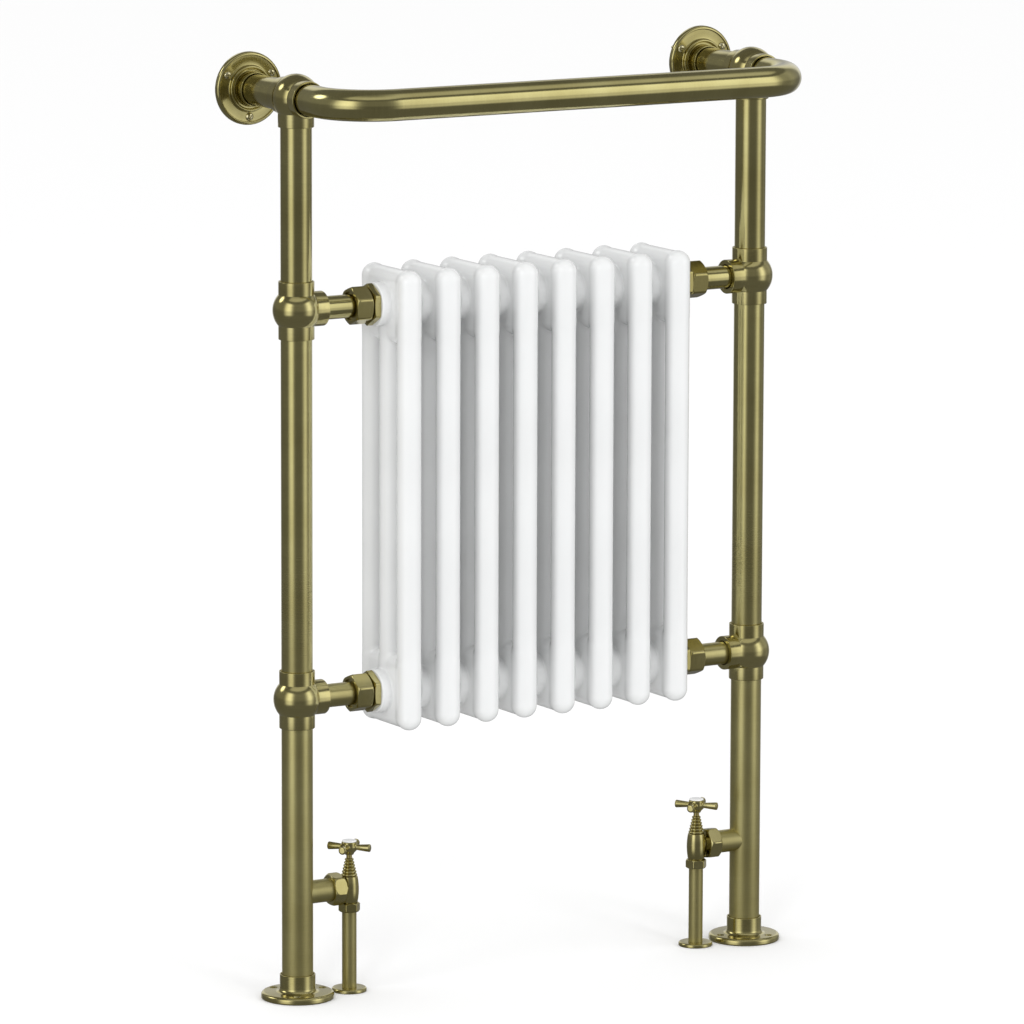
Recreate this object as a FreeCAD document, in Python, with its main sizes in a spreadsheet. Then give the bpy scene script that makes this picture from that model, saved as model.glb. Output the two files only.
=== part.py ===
import FreeCAD, Part
import math
import os
import re
import Sketcher
from FreeCAD import Placement, Rotation, Vector

# A traditional towel warmer: two brass posts stand on floor flanges, are tied back to the wall
# at the top and carry a bent towel rail; a column radiator hangs between them on four unions,
# and an angle valve with a crosshead handle feeds the foot of each post.
# Millimetres. X runs along the width, -Y is the front, +Y the wall, Z is up. The origin is on
# the floor, under the middle of the whole object.

doc = FreeCAD.newDocument("TowelWarmer")
sheet = doc.addObject("Spreadsheet::Sheet", "Sizes")

SIZES = (
    # the frame
    ("post_spacing", 540, "between the axes of the two posts"),
    ("lower_tee_height", 311, "floor to the centre of the lower ball tee"),
    ("upper_tee_height", 710, "floor to the centre of the upper ball tee"),
    ("top_ball_height", 925, "floor to the centre of the top ball"),
    ("wall_distance", 102.5, "axis of the posts to the wall"),
    ("rail_reach", 106, "axis of the posts to the axis of the rail's front run"),
    ("rail_bend", 55, "centre-line radius of the rail's two bends"),
    ("tube_od", 32, "posts, wall stays and towel rail"),
    ("tube_wall", 1.5, "wall of those tubes"),
    # ball fittings
    ("ball_swell", 8.2, "how far a ball stands out past the tubes"),
    ("ball_wall", 3.6, "wall of every ball"),
    ("collar_wall", 2.3, "wall of the sockets that hold the posts"),
    ("collar_proud", 5.3, "how far those sockets stand out of the ball"),
    ("side_collar_wall", 5.8, "wall of the socket that holds a radiator tail"),
    ("ring_wall", 2.8, "wall of the short sockets of the rail and the wall stay"),
    ("ring_proud", 2.8, "how far the short sockets stand out of the ball"),
    ("socket_depth", 14, "how far a post or a radiator tail goes into its socket"),
    ("ring_depth", 9, "how far the rail and the wall stay go into theirs"),
    ("solder_gap", 0.05, "radial gap of every soldered or screwed joint"),
    # flanges
    ("floor_plate", 7, "thickness of a floor flange"),
    ("floor_collar", 25, "floor to the top of its collar"),
    ("flange_web", 2.5, "metal left under a tube in its flange"),
    ("wall_plate", 5, "thickness of a wall flange at its screws"),
    ("wall_rim", 1.4, "how far its rim stands above that"),
    ("wall_rim_width", 3.6, "width of the rim"),
    ("wall_boss_height", 9.5, "wall to the top of the raised ring round the stay"),
    ("wall_boss_width", 2.8, "width of the ring"),
    ("wall_groove", 3, "depth of the groove between the ring and the collar"),
    ("wall_groove_width", 2.9, "width of that groove"),
    ("wall_collar", 19.5, "wall to the end of the collar"),
    ("wall_collar_wall", 1.8, "wall of the collar round the stay"),
    ("screw_land", 1.2, "flat between the raised ring and a screw's head"),
    ("rim_land", 0.6, "flat between a screw's head and the rim"),
    ("screw_od", 4.5, "shank of a wall screw"),
    ("screw_hole_play", 0.5, "hole over shank, on the diameter"),
    ("screw_head_od", 8.6, "round head of a wall screw"),
    ("screw_head_height", 2.6, "round head of a wall screw"),
    ("screw_stand", 14, "length of a screw that goes into the wall"),
    # radiator
    ("section_pitch", 45.6, "from one section to the next"),
    ("section_gap", 0.4, "gasket space between two sections"),
    ("column_od", 25, "each upright column"),
    ("column_slot", 10.9, "slot between two columns of a section"),
    ("column_rise", 24.1, "boss centre to the centre of a column's dome"),
    ("section_wall", 1.4, "sheet steel of the sections"),
    ("web_inset", 1, "how much thinner the header is than a column, each side"),
    ("web_rise", 36.1, "boss centre to the ridge of the header"),
    ("web_drop", 40, "boss centre to the header's inner edge"),
    ("boss_wall", 6, "wall of the round boss that joins the sections"),
    ("nipple_od", 33, "threaded nipple inside two bosses"),
    ("nipple_wall", 3, "wall of a nipple"),
    ("nipple_length", 23, "length of a nipple"),
    # radiator unions
    ("bush_land", 2.5, "how far the bush's hexagon stands out past its thread"),
    ("bush_plate", 7, "thickness of that hexagon"),
    ("bush_thread", 12, "length of the bush inside the boss"),
    ("tail_step", 2.5, "outer thread of the bush past the tail, on the radius"),
    ("union_thread", 10, "length of that thread"),
    ("union_nut_wall", 3, "thread to flat of the union nut"),
    ("union_length", 19, "length of the union nut"),
    ("union_play", 0.6, "space between the nut and the bush"),
    ("tail_od", 24, "plain tail between the tee and the nut"),
    ("tail_wall", 2.2, "wall of the tail"),
    ("tail_flange", 2.5, "thickness of the flange held by the nut"),
    ("seal_thickness", 1.5, "flat washer of a union"),
    # valves
    ("valve_offset", 60.5, "axis of a post to the axis of its valve"),
    ("port_height", 108.5, "floor to the axis of the valve's side port"),
    ("barrel_below", 15.5, "port axis down to the foot of the barrel"),
    ("barrel_above", 12, "port axis up to the top of the barrel"),
    ("barrel_land", 0.25, "barrel's end past the thread under it, on the radius"),
    ("barrel_bulge", 1.4, "how far its side swells"),
    ("barrel_wall", 2.3, "wall of the barrel round its chamber"),
    ("seat_sink", 0.5, "foot of the port's bore down to the seat"),
    ("seat_bore", 8, "hole through the seat"),
    ("seat_web", 4, "metal between the seat and the pipe"),
    ("port_bore", 10, "bore of the side port"),
    ("branch_od", 23.8, "branch from the post"),
    ("port_step", 0.7, "outer thread of the port past the branch, on the radius"),
    ("port_thread", 7.5, "length of that thread"),
    ("port_neck_od", 16.5, "neck between the thread and the barrel"),
    ("branch_wall", 2.2, "wall of the branch"),
    ("nut_wall", 2.4, "thread to flat of the valve's union nut"),
    ("nut_length", 14, "length of that nut"),
    ("nut_end_play", 0.5, "space between that nut and the barrel"),
    ("pipe_od", 15, "supply pipe"),
    ("pipe_wall", 0.8, "wall of the supply pipe"),
    ("foot_thread_wall", 0.85, "wall of the thread under the barrel"),
    ("foot_thread", 6, "length of that thread"),
    ("gland_wall", 1.65, "thread to flat of the compression nut"),
    ("gland_length", 9.2, "length of the compression nut"),
    ("gland_floor", 2.2, "its floor under the olive"),
    ("gland_play", 0.2, "space between that nut and the barrel"),
    ("rose_width", 10.5, "floor rose, pipe to rim"),
    ("rose_height", 4, "floor rose"),
    # headwork
    ("bonnet_inset", 0.3, "foot of the stepped bonnet inside the barrel's edge"),
    ("bonnet_top_wall", 1.5, "wall of the bonnet round the spindle at its top"),
    ("bonnet_height", 19, "barrel to the top of the bonnet"),
    ("bonnet_plug", 6, "length of the bonnet inside the barrel"),
    ("guide_wall", 1.5, "jumper's square sleeve round the spindle's thread"),
    ("guide_play", 0.1, "on each side of that sleeve"),
    ("guide_top", 3, "barrel top to the end of the square guide"),
    ("spindle_od", 6, "spindle in the bonnet"),
    ("running_gap", 0.05, "radial gap of the turning spindle"),
    ("spindle_collar", 1.6, "thickness of that collar"),
    ("collar_play", 0.2, "end play of that collar"),
    ("thread_step", 0.5, "spindle down to its thread inside the jumper, on the radius"),
    ("spindle_drop", 8, "barrel top down to the end of the spindle"),
    ("ring_groove", 2.2, "height of the groove for the packing ring"),
    ("ring_level", 8, "barrel top to that groove"),
    ("ring_thickness", 1.2, "packing ring, inside to outside"),
    ("jumper_play", 0.5, "jumper's disc to the chamber, on the radius"),
    ("jumper_disc", 2.5, "thickness of that disc"),
    ("jumper_washer", 1.5, "thickness of its washer"),
    ("washer_inset", 0.5, "washer inside the disc's edge"),
    ("jumper_sleeve", 9.5, "length of the square sleeve"),
    ("jumper_end", 1.5, "metal under the sleeve's thread"),
    ("seat_gap", 0.05, "washer to seat, closed"),
    # handle
    ("neck_gap", 3.5, "bonnet to the hub of the handle"),
    ("hub_od", 16, "hub of the crosshead"),
    ("hub_height", 13.5, "hub of the crosshead"),
    ("hub_foot_wall", 1.5, "foot of the hub round the spindle"),
    ("hub_floor", 1.6, "metal between the spindle and the screw's head"),
    ("hub_bore_depth", 7.6, "how far the spindle goes into the hub"),
    ("disc_inset", 0.6, "index disc inside the hub's edge"),
    ("disc_rim", 1.4, "height of that disc above the hub"),
    ("disc_skirt", 2, "how far it goes down into the hub"),
    ("disc_lip", 0.7, "disc past the part of it that goes into the hub"),
    ("arm_level", 8, "foot of the hub to the axis of the arms"),
    ("arm_length", 23, "axis of the handle to the end of an arm"),
    ("arm_root_od", 5.8, "arm at the hub"),
    ("arm_end_od", 8.2, "arm at its end"),
    ("arm_turn", -48, "degrees from X to the first arm"),
    ("handle_screw_od", 3.4, "screw that holds the handle"),
    ("handle_screw_head", 6, "head of that screw"),
    ("handle_screw_length", 8, "shank of that screw"),
)
for row, (alias, size, meaning) in enumerate(SIZES, start=1):
    sheet.set("A%d" % row, meaning)
    sheet.set("B%d" % row, str(size))
    sheet.setAlias("B%d" % row, alias)
doc.recompute()

NAMES = {alias for alias, size, meaning in SIZES}
FITS = {
    # each fit is worked out from the piece that it fits
    "ball_radius": "(tube_od/2 + ball_swell)",
    "collar_od": "(tube_od + 2*collar_wall)",
    "collar_reach": "(ball_radius + collar_proud)",
    "side_collar_od": "(tail_od + 2*side_collar_wall)",
    "ring_od": "(tube_od + 2*ring_wall)",
    "ring_reach": "(ball_radius + ring_proud)",
    "stay_collar_od": "(tube_od + 2*wall_collar_wall)",
    "wall_boss_od": "(stay_collar_od + 2*wall_groove_width + 2*wall_boss_width)",
    "screw_circle": "(wall_boss_od + screw_head_od + 2*screw_land)",
    "screw_neck_od": "(screw_od + screw_hole_play*0.6)",
    "flange_od": "(screw_circle + screw_head_od + 2*rim_land + 2*wall_rim_width)",
    "column_spacing": "(column_od + column_slot)",
    "web_width": "(column_od - 2*web_inset)",
    "boss_od": "(nipple_od + 2*boss_wall)",
    "bush_flats": "(nipple_od + 2*bush_land)",
    "union_thread_od": "(tail_od + 2*tail_step)",
    "union_flats": "(union_thread_od + 2*union_nut_wall)",
    "foot_thread_od": "(pipe_od + 2*foot_thread_wall)",
    "barrel_end_od": "(foot_thread_od + 2*barrel_land)",
    "chamber_od": "(barrel_end_od - 2*barrel_wall)",
    "seat_drop": "(port_bore/2 + seat_sink)",
    "port_thread_od": "(branch_od + 2*port_step)",
    "nut_flats": "(port_thread_od + 2*nut_wall)",
    "gland_flats": "(foot_thread_od + 2*gland_wall)",
    "rose_od": "(pipe_od + 2*rose_width)",
    "bonnet_od": "(barrel_end_od - 2*bonnet_inset)",
    "bonnet_top_od": "(spindle_od + 2*bonnet_top_wall)",
    "drive_thread_od": "(spindle_od - 2*thread_step)",
    "guide_width": "(drive_thread_od + 2*guide_wall)",
    "spindle_collar_od": "(guide_width - 2*guide_play)",
    "ring_outer": "(spindle_od + 2*ring_thickness)",
    "jumper_od": "(chamber_od - 2*jumper_play)",
    "jumper_washer_od": "(jumper_od - 2*washer_inset)",
    "hub_foot_od": "(spindle_od + 2*hub_foot_wall)",
    "disc_od": "(hub_od - 2*disc_inset)",
    "disc_skirt_od": "(disc_od - 2*disc_lip)",
}
ALONG_X = Rotation(Vector(0, 1, 0), 90)       # local Z to row +X
AGAINST_X = Rotation(Vector(0, 1, 0), -90)    # local Z to row -X
ALONG_Y = Rotation(Vector(1, 0, 0), -90)      # local Z to row +Y
AGAINST_Y = Rotation(Vector(1, 0, 0), 90)     # local Z to row -Y
HALF_TURN = Rotation(Vector(0, 0, 1), 180)
SECTION_COUNT = 8
CUT_PAST = "2"                                # how far a cutting tool runs past the metal
nodes = []


def bound(text):
    """The text of a size with every fit written out and every alias pointed at the sheet."""
    def spelled(word):
        if word[0] in FITS:
            return bound(FITS[word[0]])
        return "Sizes." + word[0] if word[0] in NAMES else word[0]
    return re.sub(r"[a-z]\w+", spelled, text)


def value(text):
    return float(sheet.evalExpression(bound(text)))


def put(piece, x="0", y="0", z="0", turn=None):
    """Place a piece: its three coordinates stay bound to the sheet."""
    piece.Placement = Placement(Vector(), turn or Rotation())
    for axis, text in zip("xyz", (x, y, z)):
        if text != "0":
            piece.setExpression("Placement.Base." + axis, bound(text))
    return piece


def primitive(kind, name, sizes, **place):
    piece = doc.addObject(kind, name)
    for attribute, text in sizes.items():
        piece.setExpression(attribute, bound(text))
    return put(piece, **place)


def rod(name, across, length, **place):
    """A round bar of diameter across, standing on its placement along local Z."""
    return primitive("Part::Cylinder", name, {"Radius": "(%s)/2" % across, "Height": length}, **place)


def hole(name, across, start, end, turn=None, side="z"):
    """A cutting rod from start to end along one local axis, through the local origin."""
    length = "(%s) - (%s)" % (end, start)
    return rod(name, across, length, turn=turn, **{side: start})


def ball(name, across, **place):
    return primitive("Part::Sphere", name, {"Radius": "(%s)/2" % across}, **place)


def block(name, x_size, y_size, z_size, **place):
    return primitive("Part::Box", name, {"Length": x_size, "Width": y_size, "Height": z_size}, **place)


def fused(name, pieces):
    union = doc.addObject("Part::MultiFuse", name)
    union.Shapes = pieces
    union.Refine = True
    return union


def cut(name, base, tools):
    result = doc.addObject("Part::Cut", name)
    result.Base = base
    result.Tool = tools[0] if len(tools) == 1 else fused(name + "_tools", tools)
    result.Refine = True
    return result


def grouped(name, pieces):
    group = doc.addObject("Part::Compound", name)
    group.Links = pieces
    return group


def node(piece, label):
    """Name a finished sub-part: the label is also the name of its file."""
    piece.Label = label
    nodes.append(piece)
    return piece


def origin_plane(body, role):
    return [feature for feature in body.Origin.OriginFeatures if feature.Role == role][0]


def hold(sketch, kind, side, end, text):
    """Bind one coordinate of a corner to the sheet; a zero keeps the corner on the axis."""
    size = value(text)
    if abs(size) < 1e-9:
        axis = -2 if kind == "DistanceX" else -1
        sketch.addConstraint(Sketcher.Constraint("PointOnObject", side, end, axis))
        return
    index = sketch.addConstraint(Sketcher.Constraint(kind, -1, 1, side, end, size))
    sketch.setExpression("Constraints[%d]" % index, bound(text))


def outline(body, name, role, corners, bulges=()):
    """A closed outline with each corner bound to the sheet. bulges gives, for the side that
    starts at a corner, the height of its arc."""
    sketch = body.newObject("Sketcher::SketchObject", name)
    sketch.AttachmentSupport = (origin_plane(body, role), [""])
    sketch.MapMode = "FlatFace"
    points = [Vector(value(across), value(up), 0) for across, up in corners]
    heights = dict(bulges)
    for side, (start, end) in enumerate(zip(points, points[1:] + points[:1])):
        if side in heights:
            rise = value(heights[side])
            chord = end - start
            middle = (start + end) * 0.5 + Vector(chord.y, -chord.x, 0).normalize() * rise
            sketch.addGeometry(Part.Arc(start, middle, end), False)
        else:
            sketch.addGeometry(Part.LineSegment(start, end), False)
    for side, (across, up) in enumerate(corners):
        if side in heights:
            first, last = (1, 2) if sketch.Geometry[side].StartPoint.isEqual(points[side], 1e-6) else (2, 1)
        else:
            first, last = 1, 2
        hold(sketch, "DistanceX", side, first, across)
        hold(sketch, "DistanceY", side, first, up)
        following = (side + 1) % len(corners)
        start_of_next = 1
        if following in heights:
            begins = sketch.Geometry[following].StartPoint.isEqual(points[following], 1e-6)
            start_of_next = 1 if begins else 2
        sketch.addConstraint(Sketcher.Constraint("Coincident", side, last, following, start_of_next))
        if side in heights:
            rise = heights[side]
            across_next, up_next = corners[following]
            chord = "sqrt(pow((%s) - (%s); 2) + pow((%s) - (%s); 2))" % (across_next, across, up_next, up)
            radius = "pow(%s; 2)/(8*(%s)) + (%s)/2" % (chord, rise, rise)
            index = sketch.addConstraint(Sketcher.Constraint("Radius", side, value(radius)))
            sketch.setExpression("Constraints[%d]" % index, bound(radius))
    return sketch


def turned(name, corners, bulges=(), **place):
    """A turned piece: corners are (radius, height) and spin about local Z."""
    body = doc.addObject("PartDesign::Body", name)
    profile = outline(body, name + "_profile", "XZ_Plane", corners, bulges)
    turning = body.newObject("PartDesign::Revolution", name + "_turning")
    turning.Profile = profile
    turning.ReferenceAxis = (profile, ["V_Axis"])
    turning.Angle = 360
    return put(body, **place)


def rounded(body, picks):
    """Round circular edges of a turned body: picks are (radius of edge, height, fillet)."""
    doc.recompute()
    for number, (across, up, size) in enumerate(picks):
        base, names = body.Tip, []
        for index, edge in enumerate(base.Shape.Edges, start=1):
            curve = edge.Curve
            if not isinstance(curve, Part.Circle):
                continue
            if abs(curve.Radius - value(across)) < 0.01 and abs(curve.Center.z - value(up)) < 0.01:
                names.append("Edge%d" % index)
        fillet = body.newObject("PartDesign::Fillet", "%s_round_%d" % (body.Name, number))
        fillet.Base = (base, names)
        fillet.setExpression("Radius", bound(size))
        body.Tip = fillet
        doc.recompute()
    return body


def hexagon(name, flats, length, spin=0, bevel="1.4", ends=(True, True), **place):
    """A hexagonal bar along local Z whose corners are turned down at the chosen ends."""
    bar = primitive("Part::Prism", name + "_bar", {"Circumradius": "(%s)/2/cos(30)" % flats, "Height": length},
                    turn=Rotation(Vector(0, 0, 1), spin))
    bar.Polygon = 6
    face = "(%s)/2 - 0.3" % flats
    corner = "(%s)/2/cos(30) + 0.1" % flats
    corners = [("0", "0")]
    corners += [(face, "0"), (corner, bevel)] if ends[0] else [(corner, "0")]
    corners += [(corner, "%s - (%s)" % (length, bevel)), (face, length)] if ends[1] else [(corner, length)]
    corners += [("0", length)]
    common = doc.addObject("Part::Common", name)
    common.Base = bar
    common.Tool = turned(name + "_envelope", corners)
    return put(common, **place)


# ---------------------------------------------------------------- places shared by many pieces

POST_Y = "(rail_reach + tube_od/2 - wall_distance - screw_stand)/2"
SOCKET = "(tube_od + 2*solder_gap)"
BOSS_FACE = "(section_pitch*%d/2 - section_gap/2)" % SECTION_COUNT
PIPE_END = "(seat_drop + seat_web)"                    # port axis down to the top of the pipe
SEAL_START = "(bush_plate + union_thread)"             # outwards from the boss face
TAIL_START = "(%s + seal_thickness)" % SEAL_START
TAIL_TOP = "(%s + tail_flange)" % TAIL_START
BARREL_TOP = "(port_height + barrel_above)"
HUB_FOOT = "(%s + bonnet_height + neck_gap)" % BARREL_TOP
SIDES = (("left", -1), ("right", 1))


def post_x(side, inwards="0"):
    return "%d*(post_spacing/2 - (%s))" % (side, inwards)


def pipe_length(name, across, wall, start, end, **place):
    """An open tube from start to end along local Z."""
    outer = hole(name + "_outside", across, start, end)
    inner = hole(name + "_inside", "(%s) - 2*(%s)" % (across, wall), "(%s) - %s" % (start, CUT_PAST),
                 "(%s) + %s" % (end, CUT_PAST))
    return put(cut(name, outer, [inner]), **place)


# ---------------------------------------------------------------- flanges and posts

def floor_flange(label, side):
    """Brass disc with a collar that the post stands in; three holes for floor screws."""
    bore = SOCKET + "/2"
    corners = [("0", "0"), ("flange_od/2", "0"), ("flange_od/2", "floor_plate"), ("collar_od/2", "floor_plate"),
               ("collar_od/2", "floor_collar"), (bore, "floor_collar"), (bore, "flange_web"), ("0", "flange_web")]
    disc = turned(label + "_disc", corners)
    rounded(disc, [("flange_od/2", "floor_plate", "floor_plate/2"), ("collar_od/2", "floor_plate", "floor_plate/2")])
    holes = []
    for number in range(3):
        angle = 120 * number - 90 + side * 30
        holes.append(primitive(
            "Part::Cylinder", "%s_hole_%d" % (label, number),
            {"Radius": "(screw_od + screw_hole_play)/2", "Height": "floor_plate + 2*" + CUT_PAST},
            x="screw_circle/2*cos(%d)" % angle, y="screw_circle/2*sin(%d)" % angle, z="-" + CUT_PAST))
    node(put(cut(label, disc, holes), x=post_x(side), y=POST_Y), label)


def posts(name, side):
    """Three lengths of tube on one axis: floor flange, lower tee, upper tee, top ball."""
    start = "(collar_reach - socket_depth)"
    foot = pipe_length("lower_post_tube_" + name, "tube_od", "tube_wall", "flange_web + solder_gap",
                       "lower_tee_height - %s - solder_gap" % start)
    branch_hole = rod("branch_hole_" + name, "branch_od + 2*solder_gap", "tube_od", z="port_height",
                      turn=AGAINST_X if side > 0 else ALONG_X)
    lower = cut("lower_post_body_" + name, foot, [branch_hole])
    node(put(lower, x=post_x(side), y=POST_Y), "lower_post_" + name)
    middle = pipe_length("middle_post_tube_" + name, "tube_od", "tube_wall", "0",
                         "upper_tee_height - lower_tee_height - 2*%s - 2*solder_gap" % start,
                         x=post_x(side), y=POST_Y, z="lower_tee_height + %s + solder_gap" % start)
    node(middle, "middle_post_" + name)
    upper = pipe_length("upper_post_tube_" + name, "tube_od", "tube_wall", "0",
                        "top_ball_height - upper_tee_height - 2*%s - 2*solder_gap" % start,
                        x=post_x(side), y=POST_Y, z="upper_tee_height + %s + solder_gap" % start)
    node(upper, "upper_post_" + name)


def ball_fitting(label, sockets, **place):
    """A hollow ball with tube sockets; each socket is (turn, outside, tube bore, reach, depth)."""
    solids = [ball(label + "_ball", "2*ball_radius")]
    tools = [ball(label + "_hollow", "2*ball_radius - 2*ball_wall")]
    for number, (turn, outside, bore, reach, deep) in enumerate(sockets):
        name = "%s_%d" % (label, number)
        solids.append(rod(name + "_collar", outside, reach, turn=turn))
        waterway = rod(name + "_waterway", "(%s) - 2*tube_wall - 2*solder_gap" % bore, reach, turn=turn)
        depth = rod(name + "_depth", bore, "%s + %s" % (deep, CUT_PAST), turn=turn)
        direction = turn.multVec(Vector(0, 0, 1))
        for axis in "xyz":
            along = round(getattr(direction, axis))
            if along:
                depth.setExpression("Placement.Base." + axis, bound("%d*(%s - %s)" % (along, reach, deep)))
        tools += [waterway, depth]
    return put(cut(label, fused(label + "_solid", solids), tools), **place)


def tees_and_cross(name, side):
    """Two ball tees that hold the radiator and the top ball that joins post, rail and stay."""
    up, down = Rotation(), Rotation(Vector(1, 0, 0), 180)
    inwards = AGAINST_X if side > 0 else ALONG_X
    tail_bore = "(tail_od + 2*solder_gap)"
    tee = ((up, "collar_od", SOCKET, "collar_reach", "socket_depth"),
           (down, "collar_od", SOCKET, "collar_reach", "socket_depth"),
           (inwards, "side_collar_od", tail_bore, "collar_reach", "socket_depth"))
    for level in ("lower", "upper"):
        label = "%s_tee_%s" % (level, name)
        node(ball_fitting(label, tee, x=post_x(side), y=POST_Y, z=level + "_tee_height"), label)
    cross = ((down, "collar_od", SOCKET, "collar_reach", "socket_depth"),
             (ALONG_Y, "ring_od", SOCKET, "ring_reach", "ring_depth"),
             (AGAINST_Y, "ring_od", SOCKET, "ring_reach", "ring_depth"))
    label = "top_cross_" + name
    node(ball_fitting(label, cross, x=post_x(side), y=POST_Y, z="top_ball_height"), label)


def wall_stay(name, side):
    start = "(ring_reach - ring_depth + solder_gap)"
    tube = pipe_length("stay_tube_" + name, "tube_od", "tube_wall", "0",
                       "wall_distance - flange_web - solder_gap - %s" % start,
                       x=post_x(side), y=POST_Y + " + " + start, z="top_ball_height", turn=ALONG_Y)
    node(tube, "wall_stay_" + name)


def wall_flange(name, side):
    """Stepped disc with a rim, a raised ring and a collar round the stay; local Z leaves the wall."""
    label = "wall_flange_" + name
    bore = SOCKET + "/2"
    rim = "(wall_plate + wall_rim)"
    boss_inner = "(wall_boss_od/2 - wall_boss_width)"
    groove = "(wall_boss_height - wall_groove)"
    corners = [("0", "0"), ("flange_od/2", "0"), ("flange_od/2", rim), ("flange_od/2 - wall_rim_width", rim),
               ("flange_od/2 - wall_rim_width", "wall_plate"), ("wall_boss_od/2", "wall_plate"),
               ("wall_boss_od/2", "wall_boss_height"), (boss_inner, "wall_boss_height"), (boss_inner, groove),
               ("stay_collar_od/2", groove), ("stay_collar_od/2", "wall_collar"), (bore, "wall_collar"),
               (bore, "flange_web"), ("0", "flange_web")]
    disc = turned(label + "_disc", corners)
    rounded(disc, [("flange_od/2", rim, "wall_rim_width*0.8"), ("wall_boss_od/2", "wall_boss_height", "wall_boss_width/2")])
    holes = []
    for number in range(3):
        angle = 120 * number + 30
        holes.append(primitive(
            "Part::Cylinder", "%s_hole_%d" % (label, number),
            {"Radius": "(screw_od + screw_hole_play)/2", "Height": "wall_plate + 2*" + CUT_PAST},
            x="screw_circle/2*cos(%d)" % angle, y="screw_circle/2*sin(%d)" % angle, z="-" + CUT_PAST))
    node(put(cut(label, disc, holes), x=post_x(side), y=POST_Y + " + wall_distance", z="top_ball_height",
             turn=AGAINST_Y), label)


def wall_screws():
    """Six round-headed screws; their shanks stand out behind the flanges, where the wall is."""
    screws = []
    for name, side in SIDES:
        for number in range(3):
            angle = 120 * number + 30
            corners = [("0", "-screw_stand"), ("screw_od/2 - 1", "-screw_stand"), ("screw_od/2", "-screw_stand + 3"),
                       ("screw_od/2", "0"), ("screw_neck_od/2", "0"), ("screw_neck_od/2", "wall_plate"),
                       ("screw_head_od/2", "wall_plate"),
                       ("screw_head_od/2", "wall_plate + 0.8"), ("screw_head_od/2 - 1.2", "wall_plate + screw_head_height - 0.5"),
                       ("1.4", "wall_plate + screw_head_height"), ("0", "wall_plate + screw_head_height")]
            screws.append(turned(
                "wall_screw_%s_%d" % (name, number), corners, turn=AGAINST_Y,
                x="%s + screw_circle/2*cos(%d)" % (post_x(side), angle), y=POST_Y + " + wall_distance",
                z="top_ball_height + screw_circle/2*sin(%d)" % angle))
    node(grouped("wall_screw_group", screws), "wall_screws")


def towel_rail():
    """One tube bent to a wide U: out of the left ball, along the front, back to the right ball."""
    body = doc.addObject("PartDesign::Body", "rail_body")
    start = "(ring_reach - ring_depth + solder_gap)"
    half, bend = value("post_spacing/2"), value("rail_bend")
    run = value("rail_reach - " + start)
    path = body.newObject("Sketcher::SketchObject", "rail_path")
    path.AttachmentSupport = (origin_plane(body, "XY_Plane"), [""])
    path.MapMode = "FlatFace"
    centre_left = Part.Circle(Vector(bend - half, bend - run, 0), Vector(0, 0, 1), bend)
    centre_right = Part.Circle(Vector(half - bend, bend - run, 0), Vector(0, 0, 1), bend)
    path.addGeometry(Part.LineSegment(Vector(-half, 0, 0), Vector(-half, bend - run, 0)), False)
    path.addGeometry(Part.ArcOfCircle(centre_left, math.pi, 1.5 * math.pi), False)
    path.addGeometry(Part.LineSegment(Vector(bend - half, -run, 0), Vector(half - bend, -run, 0)), False)
    path.addGeometry(Part.ArcOfCircle(centre_right, 1.5 * math.pi, 2 * math.pi), False)
    path.addGeometry(Part.LineSegment(Vector(half, bend - run, 0), Vector(half, 0, 0)), False)
    ends = ((0, 2, 1, 1), (1, 2, 2, 1), (2, 2, 3, 1), (3, 2, 4, 1))
    for first, first_end, second, second_end in ends:
        path.addConstraint(Sketcher.Constraint("Tangent", first, first_end, second, second_end))
    hold(path, "DistanceX", 0, 1, "-post_spacing/2")
    hold(path, "DistanceY", 0, 1, "0")
    path.addConstraint(Sketcher.Constraint("Vertical", 0))
    hold(path, "DistanceX", 4, 2, "post_spacing/2")
    hold(path, "DistanceY", 4, 2, "0")
    hold(path, "DistanceY", 2, 1, "-(rail_reach - %s)" % start)
    for arc in (1, 3):
        index = path.addConstraint(Sketcher.Constraint("Radius", arc, bend))
        path.setExpression("Constraints[%d]" % index, bound("rail_bend"))
    ring = body.newObject("Sketcher::SketchObject", "rail_ring")
    ring.AttachmentSupport = (origin_plane(body, "XZ_Plane"), [""])
    ring.MapMode = "FlatFace"
    for number, text in enumerate(("tube_od/2", "tube_od/2 - tube_wall")):
        ring.addGeometry(Part.Circle(Vector(-half, 0, 0), Vector(0, 0, 1), value(text)), False)
        hold(ring, "DistanceX", number, 3, "-post_spacing/2")
        hold(ring, "DistanceY", number, 3, "0")
        index = ring.addConstraint(Sketcher.Constraint("Radius", number, value(text)))
        ring.setExpression("Constraints[%d]" % index, bound(text))
    sweep = body.newObject("PartDesign::AdditivePipe", "rail_sweep")
    sweep.Profile = ring
    sweep.Spine = (path, [])
    node(put(body, y=POST_Y + " - " + start, z="top_ball_height"), "towel_rail")


# ---------------------------------------------------------------- column radiator

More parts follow.
